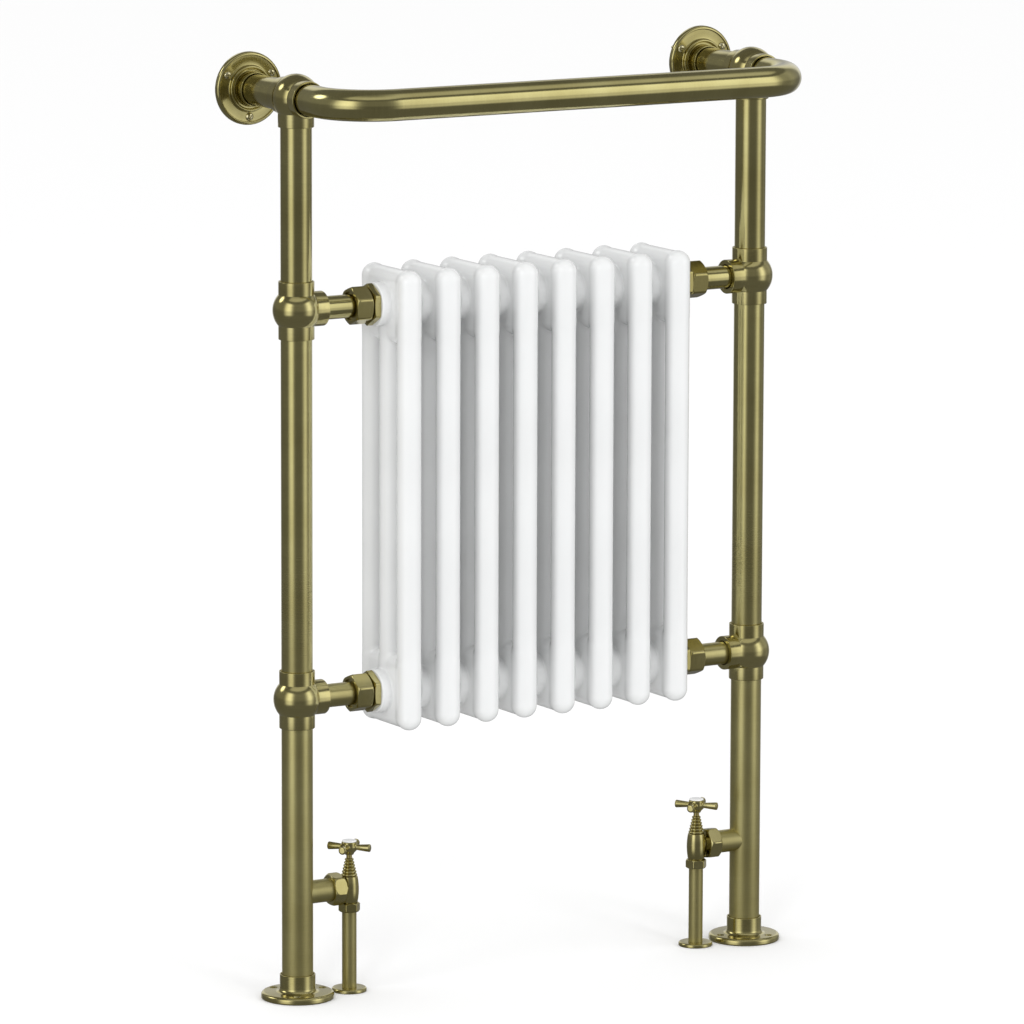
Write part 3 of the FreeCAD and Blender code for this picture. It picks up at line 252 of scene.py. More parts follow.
def tidied(mesh, sharp_degrees):
    """Weld the seam, close open ends, turn the faces outwards and shade smooth up to an angle."""
    WELD = 1e-7
    work = bmesh.new()
    work.from_mesh(mesh)
    bmesh.ops.remove_doubles(work, verts=work.verts, dist=WELD)
    bmesh.ops.dissolve_degenerate(work, edges=work.edges, dist=WELD)
    bmesh.ops.holes_fill(work, edges=work.edges, sides=0)
    bmesh.ops.recalc_face_normals(work, faces=work.faces)
    work.to_mesh(mesh)
    work.free()
    mesh.shade_smooth()
    mesh.set_sharp_from_angle(angle=math.radians(sharp_degrees))
    return mesh


def ruled(name, verts, around, along):
    """A mesh of rings of points, with a UV map in metres: around is the way round the piece to each
    point of a ring, along the way to each ring."""
    rings, sides = len(along), len(around) - 1
    rows, columns = np.meshgrid(np.arange(rings - 1), np.arange(sides), indexing="ij")
    corner = (rows * (sides + 1) + columns).reshape(-1)
    quads = np.stack([corner, corner + 1, corner + sides + 2, corner + sides + 1], axis=1)
    mesh = bpy.data.meshes.new(name)
    mesh.from_pydata(verts.tolist(), [], quads.tolist())
    uv = mesh.uv_layers.new(name="brushing")
    spread = np.stack([np.tile(around, rings), np.repeat(along, sides + 1)], axis=1)
    uv.data.foreach_set("uv", spread[quads.reshape(-1)].astype(np.float32).reshape(-1))
    return mesh


def distances(points):
    """How far along its path each point lies."""
    return np.concatenate([[0], np.cumsum(np.linalg.norm(np.diff(points, axis=0), axis=1))])


def lathe(name, outline, sides=96, hexagon=None, spin=0.0):
    """A turned mesh from an outline of (radius, height, rounding) in mm. An outline that starts on the
    axis is capped, any other is a closed ring. hexagon is a nut's width across flats, and one of its
    flats faces spin."""
    FLATTENED = 0.93
    points = softened(outline)
    if outline[0][0] > 0:
        points.append(points[0])
    profile = np.array([tuple(p) for p in points])
    angles = np.linspace(0, 2 * math.pi, sides + 1) + spin
    radii = np.repeat(profile[:, :1], sides + 1, axis=1)
    if hexagon:
        off_flat = (angles - spin + math.pi / 6) % (math.pi / 3) - math.pi / 6
        flat = hexagon / 2 / np.cos(off_flat)
        radii = np.where(radii > hexagon / 2 * FLATTENED, np.minimum(radii, flat[None, :]), radii)
    heights = np.repeat(profile[:, 1:], sides + 1, axis=1)
    verts = np.stack([radii * np.cos(angles), radii * np.sin(angles), heights], axis=2).reshape(-1, 3) * MM
    mesh = ruled(name, verts, angles * profile[:, 0].max() * MM, distances(profile) * MM)
    return tidied(mesh, 40)


def piece(name, mesh, place=(0, 0, 0), axis="z"):
    """Link a mesh as an object whose own Z lies along the given world axis."""
    turns = {"z": Matrix.Identity(4), "x": Matrix.Rotation(math.pi / 2, 4, "Y"),
             "-x": Matrix.Rotation(-math.pi / 2, 4, "Y"), "y": Matrix.Rotation(-math.pi / 2, 4, "X"),
             "-y": Matrix.Rotation(math.pi / 2, 4, "X")}
    made = bpy.data.objects.new(name, mesh)
    scene.collection.objects.link(made)
    made.matrix_world = Matrix.Translation(Vector(place)) @ turns[axis]
    return made


def finish_piece(made, material, body, node_name):
    """Give a finished piece its material, the body that it rides on and the CAD node it stands for."""
    made.data.materials.clear()
    made.data.materials.append(material)
    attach(made, body)
    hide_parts(node_name)


def brushed_brass(name, tone, shade, brush_pitch, brush_depth, dullness):
    """Antique brass: brushed rings that follow the piece, a cloudy olive patina and a satin lacquer.
    dullness is (share of the rail's height, roughness) from the floor up; pitch and depth are in mm."""
    BRUSH_LENGTH = 22 * MM
    CLOUD = 60 * MM
    RAIL_HEIGHT = 0.925
    material = bpy.data.materials.new(name)
    material.use_nodes = True
    tree = material.node_tree
    tree.nodes.clear()
    grain = add(tree, "ShaderNodeUVMap", uv_map="brushing").outputs["UV"]
    stretch = add(tree, "ShaderNodeMapping", {"Scale": (1 / BRUSH_LENGTH, 1 / (brush_pitch * MM), 1)},
                  {"Vector": grain})
    lines = add(tree, "ShaderNodeTexNoise", {"Scale": 1.0, "Detail": 3.0, "Roughness": 0.6},
                {"Vector": stretch.outputs["Vector"]}).outputs["Fac"]
    place = add(tree, "ShaderNodeTexCoord").outputs["Object"]
    cloud = add(tree, "ShaderNodeTexNoise", {"Scale": 1 / CLOUD, "Detail": 4.0, "Roughness": 0.55},
                {"Vector": place}).outputs["Fac"]
    patina = add(tree, "ShaderNodeValToRGB", links={"Fac": cloud},
                 stops=[(0.32, linear(shade)), (0.68, linear(tone))])
    patina.color_ramp.interpolation = "EASE"
    streak = add(tree, "ShaderNodeValToRGB", links={"Fac": lines},
                 stops=[(0.30, grey(0.93)), (0.70, grey(1.03))])
    colour = add(tree, "ShaderNodeMix", {0: 1.0}, {6: patina.outputs["Color"], 7: streak.outputs["Color"]},
                 data_type="RGBA", blend_type="MULTIPLY")
    where = add(tree, "ShaderNodeNewGeometry").outputs["Position"]
    height = add(tree, "ShaderNodeSeparateXYZ", links={"Vector": where}).outputs["Z"]
    share = add(tree, "ShaderNodeMath", {1: RAIL_HEIGHT}, {0: height}, operation="DIVIDE").outputs["Value"]
    worn = add(tree, "ShaderNodeValToRGB", links={"Fac": share},
               stops=[(position, grey(roughness)) for position, roughness in dullness])
    uneven = add(tree, "ShaderNodeMapRange",
                 {"From Min": 0.3, "From Max": 0.7, "To Min": -0.02, "To Max": 0.03}, {"Value": lines})
    dull = add(tree, "ShaderNodeMath", links={0: worn.outputs["Color"], 1: uneven.outputs["Result"]},
               operation="ADD")
    scratch = add(tree, "ShaderNodeBump", {"Strength": 0.4, "Distance": brush_depth * MM}, {"Height": lines})
    skin = add(tree, "ShaderNodeBsdfPrincipled",
               {"Metallic": 1.0, "Coat Weight": 0.25, "Coat Roughness": 0.10},
               {"Base Color": colour.outputs[2], "Roughness": dull.outputs["Value"],
                "Normal": scratch.outputs["Normal"]})
    add(tree, "ShaderNodeOutputMaterial", links={"Surface": skin.outputs[0]})
    return material


def bar(length, radius):
    """Outline of a plain round bar or closed tube with broken edges."""
    return [(0, 0), (radius, 0, 0.3), (radius, length, 0.3), (0, length)]


# drawn tube: real brush lines are finer than 0.7 mm, which is the finest that still shows
brass = brushed_brass("brushed_antique_brass", "#CBC286", "#BFB579", 0.7, 0.004,
                      ((0.0, 0.50), (0.3, 0.33), (0.6, 0.20), (1.0, 0.13)))
low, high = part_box("middle_post_right")
tube_radius = (high.x - low.x) / 2 / MM
posts_x = (low.x + high.x) / 2
for side_name, side in SIDES:
    for length_name in ("lower_post_", "middle_post_", "upper_post_"):
        low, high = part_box(length_name + side_name)
        tube = lathe(length_name + side_name, bar((high.z - low.z) / MM, tube_radius))
        made = piece(length_name + side_name + "_tube", tube, (side * posts_x, posts_y, low.z))
        finish_piece(made, brass, "root", length_name + side_name)


# ---- Floor flanges. Cast brass discs with a rounded edge; a fillet runs up into the collar that
# holds the post, and three countersunk holes take the floor screws.

def combined(solid, others, operation="UNION"):
    """The solid joined with the others, or with their shapes taken out of it."""
    for other in others:
        change = solid.modifiers.new("join", "BOOLEAN")
        change.operation = operation
        change.solver = "EXACT"
        change.object = other
    bpy.context.view_layer.update()
    result = bpy.data.meshes.new_from_object(solid.evaluated_get(bpy.context.evaluated_depsgraph_get()))
    solid.modifiers.clear()
    solid.data = result
    for other in others:
        bpy.data.objects.remove(other)
    result.set_sharp_from_angle(angle=math.radians(32))
    return solid


def mouth(radius, end, bore, way=1):
    """Outline of a collar's open end: a thin rim, a dark chamfer down to the tube and the seat in it."""
    CHAMFER_DEPTH = 2.6
    SEAT_DEPTH = 3
    return [(radius, end, 0.5), (bore + 1.1, end, 0.1), (bore + 0.1, end - CHAMFER_DEPTH * way),
            (bore + 0.1, end - SEAT_DEPTH * way), (0, end - SEAT_DEPTH * way)]


# buffed castings: smoother than the tube, so they mirror the room in sharper patches
cast_brass = brushed_brass("buffed_cast_brass", "#CDC388", "#B9AE70", 1.1, 0.002,
                           ((0.0, 0.17), (1.0, 0.13)))
COLLAR = 18.3
FLOOR_PLATE = 7.0
FLANGE_HOLE = 2.5
COUNTERSINK = 2.2
SCREW_CIRCLE = 29.0
for side_name, side in SIDES:
    node_name = "floor_flange_" + side_name
    low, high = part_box(node_name)
    radius, top = (high.x - low.x) / 2 / MM, (high.z - low.z) / MM
    disc = [(0, 0), (radius, 0, 1.2), (radius, FLOOR_PLATE, 3.4), (COLLAR, FLOOR_PLATE, 4.6)]
    made = piece(node_name + "_casting", lathe(node_name, disc + mouth(COLLAR, top, tube_radius), sides=128),
                 (side * posts_x, posts_y, 0))
    sinks = []
    for number in range(3):
        angle = math.radians(120 * number - 90 + side * 30)
        hole = [(0, -1), (FLANGE_HOLE, -1), (FLANGE_HOLE, FLOOR_PLATE - COUNTERSINK + 0.4),
                (FLANGE_HOLE + COUNTERSINK, FLOOR_PLATE + 0.4), (0, FLOOR_PLATE + 0.4)]
        sinks.append(piece("sink", lathe("sink", hole, sides=32),
                           (side * posts_x + SCREW_CIRCLE * math.cos(angle) * MM,
                            posts_y + SCREW_CIRCLE * math.sin(angle) * MM, 0)))
    finish_piece(combined(made, sinks, "DIFFERENCE"), cast_brass, "root", node_name)


# ---- Ball fittings. Hollow brass balls with sockets: the tees hold the posts and a radiator tail,
# the top ball holds the post, the towel rail and the stay to the wall.

BALL = 24.2
COLLAR_REACH = 29.5
TAIL_COLLAR = 17.8
TAIL = 12.0
RING = 18.8
RING_REACH = 27.0


def ball_outline(collar_above):
    """Half outline of a ball with a collar below it, and above it too on a tee."""
    ARC_STEPS = 32
    rise = math.sqrt(BALL ** 2 - COLLAR ** 2)
    seat = math.atan2(rise, COLLAR)
    top = seat if collar_above else math.pi / 2
    outline = mouth(COLLAR, -COLLAR_REACH, tube_radius, way=-1)[::-1] + [(COLLAR, -rise)]
    for step in range(1, ARC_STEPS + 1):
        angle = -seat + (top + seat) * step / ARC_STEPS
        outline.append((max(0.0, BALL * math.cos(angle)), BALL * math.sin(angle)))
    return outline + mouth(COLLAR, COLLAR_REACH, tube_radius) if collar_above else outline


def socket(radius, reach, bore, place, axis):
    """A short collar on a ball, from inside the ball out to its mouth."""
    INSIDE_BALL = 4
    outline = [(0, INSIDE_BALL), (radius, INSIDE_BALL)] + mouth(radius, reach, bore)
    return piece("socket", lathe("socket", outline), place, axis)


rail_z = middle("towel_rail").z
for side_name, side in SIDES:
    inwards = "-x" if side > 0 else "x"
    for level in ("lower", "upper"):
        node_name = "%s_tee_%s" % (level, side_name)
        centre = (side * posts_x, posts_y, middle(node_name).z)
        made = piece(node_name + "_casting", lathe(node_name, ball_outline(True), sides=128), centre)
        combined(made, [socket(TAIL_COLLAR, COLLAR_REACH, TAIL, centre, inwards)])
        finish_piece(made, cast_brass, "root", node_name)
    node_name = "top_cross_" + side_name
    centre = (side * posts_x, posts_y, rail_z)
    made = piece(node_name + "_casting", lathe(node_name, ball_outline(False), sides=128), centre)
    combined(made, [socket(RING, RING_REACH, tube_radius, centre, axis) for axis in ("-y", "y")])
    finish_piece(made, cast_brass, "root", node_name)


# ---- Towel rail. One brass tube bent to a wide U, from the left ball round the front to the right;
# the same drawn and brushed tube as the posts.

def swept_tube(name, route, radius, sides=64):
    """A closed round tube along a flat route of points in the XY plane, in metres."""
    route = np.array(route)
    heading = np.gradient(route, axis=0)
    heading /= np.linalg.norm(heading, axis=1)[:, None]
    across = np.stack([-heading[:, 1], heading[:, 0]], axis=1)
    angles = np.linspace(0, 2 * math.pi, sides + 1)
    flat = route[:, None, :] + radius * np.cos(angles)[None, :, None] * across[:, None, :]
    rise = np.broadcast_to(radius * np.sin(angles)[None, :, None], flat.shape[:2] + (1,))
    verts = np.concatenate([flat, rise], axis=2).reshape(-1, 3)
    return tidied(ruled(name, verts, angles * radius, distances(route)), 40)


RAIL_BEND = 0.055
RAIL_END = 0.004
BEND_STEPS = 24
STRAIGHT_STEPS = 12
rail_low, rail_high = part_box("towel_rail")
front_y = rail_low.y + tube_radius * MM
rail_half = posts_x - RAIL_BEND
left_end = [(-posts_x, rail_high.y), (-posts_x, rail_high.y - RAIL_END)]
for step in range(BEND_STEPS + 1):
    angle = math.pi + math.pi / 2 * step / BEND_STEPS
    left_end.append((-rail_half + RAIL_BEND * math.cos(angle), front_y + RAIL_BEND * (1 + math.sin(angle))))
front = [(-rail_half + 2 * rail_half * step / STRAIGHT_STEPS, front_y) for step in range(1, STRAIGHT_STEPS)]
rail_route = left_end + front + [(-x, y) for x, y in reversed(left_end)]
made = piece("towel_rail_tube", swept_tube("towel_rail", rail_route, tube_radius * MM), (0, 0, rail_z))
finish_piece(made, brass, "root", "towel_rail")


# ---- Wall stays and wall flanges. A short tube runs back from each ball to a stepped disc with a
# raised rim, a raised ring and a collar round the tube; three round-headed screws hold each disc.

def gathered(name, parts):
    """Several meshes of one CAD node as one object."""
    first = parts[0]
    bpy.context.view_layer.update()
    home = first.matrix_world.inverted()
    for part in parts[1:]:
        part.data.transform(home @ part.matrix_world)
        part.matrix_world = first.matrix_world
    with bpy.context.temp_override(active_object=first, selected_editable_objects=parts):
        bpy.ops.object.join()
    first.name = name
    return first


RIM, RIM_INSIDE, RIM_TOP = 37.4, 33.9, 6.4
WALL_PLATE = 5.0
RAISED, RAISED_INSIDE, RAISED_TOP = 23.5, 20.7, 9.5
TROUGH = 6.5
STAY_COLLAR, STAY_COLLAR_TOP = 17.8, 19.5
wall_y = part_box("wall_flange_left")[1].y
for side_name, side in SIDES:
    node_name = "wall_stay_" + side_name
    low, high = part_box(node_name)
    stay = lathe(node_name, bar((high.y - low.y) / MM, tube_radius))
    made = piece(node_name + "_tube", stay, (side * posts_x, low.y, rail_z), "y")
    finish_piece(made, brass, "root", node_name)
    node_name = "wall_flange_" + side_name
    disc = [(0, 0), (RIM, 0, 0.8), (RIM, RIM_TOP, 2.8), (RIM_INSIDE, RIM_TOP, 0.6),
            (RIM_INSIDE, WALL_PLATE, 0.5), (RAISED, WALL_PLATE, 1.2), (RAISED, RAISED_TOP, 1.3),
            (RAISED_INSIDE, RAISED_TOP, 1.2), (RAISED_INSIDE, TROUGH, 0.8), (STAY_COLLAR, TROUGH, 0.8),
            (STAY_COLLAR, STAY_COLLAR_TOP, 0.5),
            (tube_radius + 0.7, STAY_COLLAR_TOP, 0.2), (tube_radius + 0.1, STAY_COLLAR_TOP - 1.2),
            (tube_radius + 0.1, STAY_COLLAR_TOP - 3), (0, STAY_COLLAR_TOP - 3)]
    made = piece(node_name + "_casting", lathe(node_name, disc, sides=128),
                 (side * posts_x, wall_y, rail_z), "-y")
    finish_piece(made, cast_brass, "root", node_name)

# screw heads are polished bright before they are lacquered
polished = brushed_brass("polished_brass_screw", "#E4DDB4", "#D6CD9F", 0.5, 0.002,
                         ((0.0, 0.12), (1.0, 0.12)))
SHANK = 2.25
THREADS, THREAD_PITCH, THREAD_DEPTH = 4, 1.8, 0.5
HEAD, HEAD_TOP = 4.3, 2.6
SLOT_LENGTH, SLOT_DEPTH, SLOT_WIDTH = 10, 1.2, 1.0
SLOT_TURN = 0.6
shank_end = (wall_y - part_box("wall_screws")[1].y) / MM
screw_outline = [(0, shank_end), (0.9, shank_end, 0.4), (SHANK, shank_end + 3)]
for number in range(THREADS):
    crest = shank_end + 4 + THREAD_PITCH * number
    screw_outline += [(SHANK, crest), (SHANK - THREAD_DEPTH, crest + THREAD_PITCH / 2)]
screw_outline += [(SHANK, -2.5), (SHANK, 0), (2.4, 0), (2.4, WALL_PLATE), (HEAD, WALL_PLATE, 0.3),
                  (HEAD, WALL_PLATE + 0.7, 0.4), (3.2, WALL_PLATE + 2.1, 0.8),
                  (1.6, WALL_PLATE + HEAD_TOP, 0.6), (0, WALL_PLATE + HEAD_TOP)]
screws = []
for side_name, side in SIDES:
    for number in range(3):
        angle = math.radians(120 * number + 30)
        place = (side * posts_x + SCREW_CIRCLE * math.cos(angle) * MM, wall_y,
                 rail_z + SCREW_CIRCLE * math.sin(angle) * MM)
        screw = piece("screw", lathe("screw", screw_outline, sides=48), place, "-y")
        bpy.ops.mesh.primitive_cube_add(size=1)
        slot_cut = bpy.context.object
        slot_size = (SLOT_LENGTH * MM, 2 * SLOT_DEPTH * MM, SLOT_WIDTH * MM, 1)
        slot_cut.matrix_world = (
            Matrix.Translation(Vector(place)) @ Matrix.Rotation(angle + SLOT_TURN, 4, "Y")
            @ Matrix.Translation(Vector((0, -(WALL_PLATE + HEAD_TOP) * MM, 0))) @ Matrix.Diagonal(slot_size))
        screws.append(combined(screw, [slot_cut], "DIFFERENCE"))
finish_piece(gathered("wall_screw_set", screws), polished, "root", "wall_screws")


# ---- Radiator. Eight pressed-steel sections welded into three-column shells, joined at round
# bosses and powder coated white after assembly, so every joint is soft-edged.

def net(field, xs, ys, zs):
    """A quad skin over the zero surface of a field, sampled on a grid and then pulled onto it."""
    PULLS = 4
    NUDGE = 0.01
    grid = np.stack(np.meshgrid(xs, ys, zs, indexing="ij"), axis=-1)
    levels = field(grid)
    inside = levels < 0
    total = np.zeros([n - 1 for n in inside.shape] + [3])
    count = np.zeros([n - 1 for n in inside.shape])
    shape = total.shape[:3]
    # a grid line that crosses the surface gives its crossing point to the four cells around it
    for axis in range(3):
        first = [slice(None)] * 3
        second = [slice(None)] * 3
        first[axis], second[axis] = slice(0, -1), slice(1, None)
        a, b = levels[tuple(first)], levels[tuple(second)]
        crossing = (a < 0) != (b < 0)
        share = np.where(crossing, a / np.where(crossing, a - b, 1), 0)[..., None]
        point = grid[tuple(first)] * (1 - share) + grid[tuple(second)] * share
        others = [k for k in range(3) if k != axis]
        for da in (0, 1):
            for db in (0, 1):
                window = [slice(None)] * 3
                window[others[0]] = slice(da, da + shape[others[0]])
                window[others[1]] = slice(db, db + shape[others[1]])
                window = tuple(window)
                total += np.where(crossing[window][..., None], point[window], 0)
                count += crossing[window]
    index = np.full(shape, -1)
    index[count > 0] = np.arange(int((count > 0).sum()))
    points = total[count > 0] / count[count > 0][:, None]
    for _ in range(PULLS):
        level = field(points)
        slope = np.stack([(field(points + nudge) - field(points - nudge)) / (2 * NUDGE)
                          for nudge in np.eye(3) * NUDGE], axis=1)
        points -= slope * (level / np.maximum((slope ** 2).sum(1), 1e-6))[:, None]
    # and those four cells' points are the corners of one quad
    quads = []
    for axis in range(3):
        first = [slice(None)] * 3
        second = [slice(None)] * 3
        first[axis], second[axis] = slice(0, -1), slice(1, None)
        crossing = inside[tuple(first)] != inside[tuple(second)]
        others = [k for k in range(3) if k != axis]
        places = np.argwhere(crossing)
        places = places[(places[:, others[0]] > 0) & (places[:, others[1]] > 0)]
        places = places[(places[:, others[0]] < shape[others[0]]) & (places[:, others[1]] < shape[others[1]])]
        corners = []
        for da, db in ((1, 1), (0, 1), (0, 0), (1, 0)):
            cell = places.copy()
            cell[:, others[0]] -= da
            cell[:, others[1]] -= db
            corners.append(index[cell[:, 0], cell[:, 1], cell[:, 2]])
        quads.append(np.stack(corners, axis=1))
    return points, np.concatenate(quads)


def skin_mesh(name, field, xs, ys, zs):
    """The net over a field in mm as a smooth mesh."""
    points, quads = net(field, xs, ys, zs)
    mesh = bpy.data.meshes.new(name)
    mesh.from_pydata((points * MM).tolist(), [], quads.tolist())
    return tidied(mesh, 60)


def stepped(*ranges):
    """Grid lines from (start, stop, step) ranges laid end to end."""
    lines = [np.arange(start, stop, step) for start, stop, step in ranges]
    return np.concatenate(lines + [[ranges[-1][1]]])


def melted(a, b, blend):
    """Smooth union of two fields: a fillet of about the blend's size grows where they meet."""
    mix = np.clip(0.5 + 0.5 * (b - a) / blend, 0, 1)
    return b + (a - b) * mix - blend * mix * (1 - mix)


def rounded(across, along, rounding):
    """Distance field of a shape that two plane fields bound, with its edge rounded."""
    a, b = across + rounding, along + rounding
    return np.hypot(np.maximum(a, 0), np.maximum(b, 0)) + np.minimum(np.maximum(a, b), 0) - rounding


section_low, section_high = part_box("radiator_section_1")
tee_low, tee_high = middle("lower_tee_left").z, middle("upper_tee_left").z
SPAN = (tee_high - tee_low) / MM
COLUMN = 12.5
COLUMN_SPACING = 35.9
COLUMN_RISE = 24.1
MIDDLE_RISE = 4
COLUMN_FILLET = 2.6
BOSS = 22.5
BOSS_HALF = (section_high.x - section_low.x) / 2 / MM
BOSS_EDGE = 1.0
BOSS_FILLET = 2.2
WEB_HALF = 11.5
WEB_RISE = 36.1
WEB_DROP = 40.0


def section_field(p):
    """Distance to one section; its origin is on the lower boss's axis. Top and bottom are the same."""
    x, y = p[..., 0], np.abs(p[..., 1])
    outward = np.abs(p[..., 2] - SPAN / 2) - SPAN / 2
    outer = np.sqrt(x ** 2 + (y - COLUMN_SPACING) ** 2 + np.maximum(outward - COLUMN_RISE, 0) ** 2) - COLUMN
    inner = np.sqrt(x ** 2 + y ** 2 + np.maximum(outward - MIDDLE_RISE, 0) ** 2) - COLUMN
    plan = np.hypot(x, np.maximum(y - COLUMN_SPACING, 0)) - WEB_HALF
    band = np.abs(outward - (WEB_RISE - WEB_DROP) / 2) - (WEB_RISE + WEB_DROP) / 2
    web = rounded(plan, band, WEB_HALF - 0.1)
    boss = rounded(np.hypot(y, outward) - BOSS, np.abs(x) - BOSS_HALF, BOSS_EDGE)
    body = melted(melted(outer, web, COLUMN_FILLET), inner, COLUMN_FILLET)
    return melted(body, boss, BOSS_FILLET)


# fine grid lines round the headers, long steps up the straight columns
FINE, LONG = 1.25, 15
section_mesh = skin_mesh("radiator_section", section_field, stepped((-25, 25, FINE)),
                         stepped((-51.25, 51.25, FINE)),
                         stepped((-40, 45, FINE), (45, SPAN - 45, LONG), (SPAN - 45, SPAN + 40, FINE)))


def powder_coat(name, colour, shade):
    """White polyester powder coat: glossy, with the faint orange peel that it bakes to."""
    PEEL = 2.6 * MM
    CLOUD = 90 * MM
    material = bpy.data.materials.new(name)
    material.use_nodes = True
    tree = material.node_tree
    tree.nodes.clear()
    place = add(tree, "ShaderNodeTexCoord").outputs["Object"]
    peel = add(tree, "ShaderNodeTexNoise", {"Scale": 1 / PEEL, "Detail": 2.0, "Roughness": 0.4},
               {"Vector": place}).outputs["Fac"]
    cloud = add(tree, "ShaderNodeTexNoise", {"Scale": 1 / CLOUD, "Detail": 2.0},
                {"Vector": place}).outputs["Fac"]
    tint = add(tree, "ShaderNodeValToRGB", links={"Fac": cloud},
               stops=[(0.3, linear(shade)), (0.7, linear(colour))])
    tint.color_ramp.interpolation = "EASE"
    dull = add(tree, "ShaderNodeMapRange", {"From Min": 0.3, "From Max": 0.7, "To Min": 0.20, "To Max": 0.27},
               {"Value": peel})
    wave = add(tree, "ShaderNodeBump", {"Strength": 0.25, "Distance": 0.02 * MM}, {"Height": peel})
    skin = add(tree, "ShaderNodeBsdfPrincipled", {"IOR": 1.5, "Coat Weight": 0.5, "Coat Roughness": 0.06},
               {"Base Color": tint.outputs["Color"], "Roughness": dull.outputs["Result"],
                "Normal": wave.outputs["Normal"]})
    add(tree, "ShaderNodeOutputMaterial", links={"Surface": skin.outputs[0]})
    return material


# a slightly cool white that clouds very faintly from one batch of powder
enamel = powder_coat("white_powder_coat", "#D5D6D6", "#D1D2D2")
for number in range(1, 9):
    node_name = "radiator_section_%d" % number
    made = piece(node_name + "_shell", section_mesh, (middle(node_name).x, posts_y, tee_low))
    finish_piece(made, enamel, "root", node_name)


# ---- Radiator unions. At each tee a plain tail, a union nut and a thin hexagon bush in the boss;
# the nuts' corners are turned down at both ends.

def nut_outline(bore, flats, start, end, bevel):
    """Outline of a hexagon nut with a bore and a recess round the bore at its far end."""
    BEVEL_STEPS = 8
    SPANS = 6
    corner = flats / 2 / math.cos(math.pi / 6) - 0.25
    face = flats / 2 - 0.4
    recess = min(2.7, 0.55 * (face - bore))
    curve = [((corner - face) * step / BEVEL_STEPS, bevel * (step / BEVEL_STEPS) ** 1.5)
             for step in range(BEVEL_STEPS + 1)]
    heights = [start + (end - start) * step / SPANS for step in range(1, SPANS)]
    return ([(bore, start, 0.3)] + [(face + out, start + up) for out, up in curve]
            + [(corner, height) for height in heights if start + bevel < height < end - bevel]
            + [(face + out, end - up) for out, up in reversed(curve)]
            + [(bore + recess, end, 0.2), (bore + 0.7 * recess, end - 3), (bore, end - 3.2)])


def nut_piece(outline, flats, turn, place, axis="z"):
    """A hexagon nut at its place, tightened to an angle in degrees."""
    mesh = lathe("nut", outline, sides=144, hexagon=flats, spin=math.radians(turn))
    return piece("nut", mesh, place, axis)


BUSH_BORE, BUSH_FLATS, BUSH_PLATE = 9.8, 38, 7.0
UNION_FLATS, UNION_START, UNION_END = 35, 7.6, 26.6
TAIL_START = 17
IN_COLLAR = 4
boss_face = -section_low.x
tails, nuts, bushes = [], [], []
for side_name, side in SIDES:
    outwards = "x" if side > 0 else "-x"
    for level in (tee_low, tee_high):
        place = (side * boss_face, posts_y, level)
        tail_end = (posts_x - boss_face) / MM - COLLAR_REACH + IN_COLLAR
        tail = [(0, TAIL_START), (TAIL, TAIL_START), (TAIL, tail_end), (0, tail_end)]
        tails.append(piece("tail", lathe("tail", tail), place, outwards))
        bush = nut_outline(BUSH_BORE, BUSH_FLATS, 0.05, BUSH_PLATE, 0.7)
        bushes.append(nut_piece(bush, BUSH_FLATS, 30, place, outwards))
        nut = nut_outline(TAIL + 0.15, UNION_FLATS, UNION_START, UNION_END, 1.8)
        nuts.append(nut_piece(nut, UNION_FLATS, -22 * side, place, outwards))
finish_piece(gathered("union_tail_set", tails), brass, "root", "union_tails")
finish_piece(gathered("union_nut_set", nuts), cast_brass, "root", "union_nuts")
finish_piece(gathered("radiator_bush_set", bushes), cast_brass, "root", "radiator_bushes")


# ---- Angle valves. A branch from each post, a union nut, a swelling barrel, a compression nut on
# the supply pipe and a floor rose where the pipe comes up.

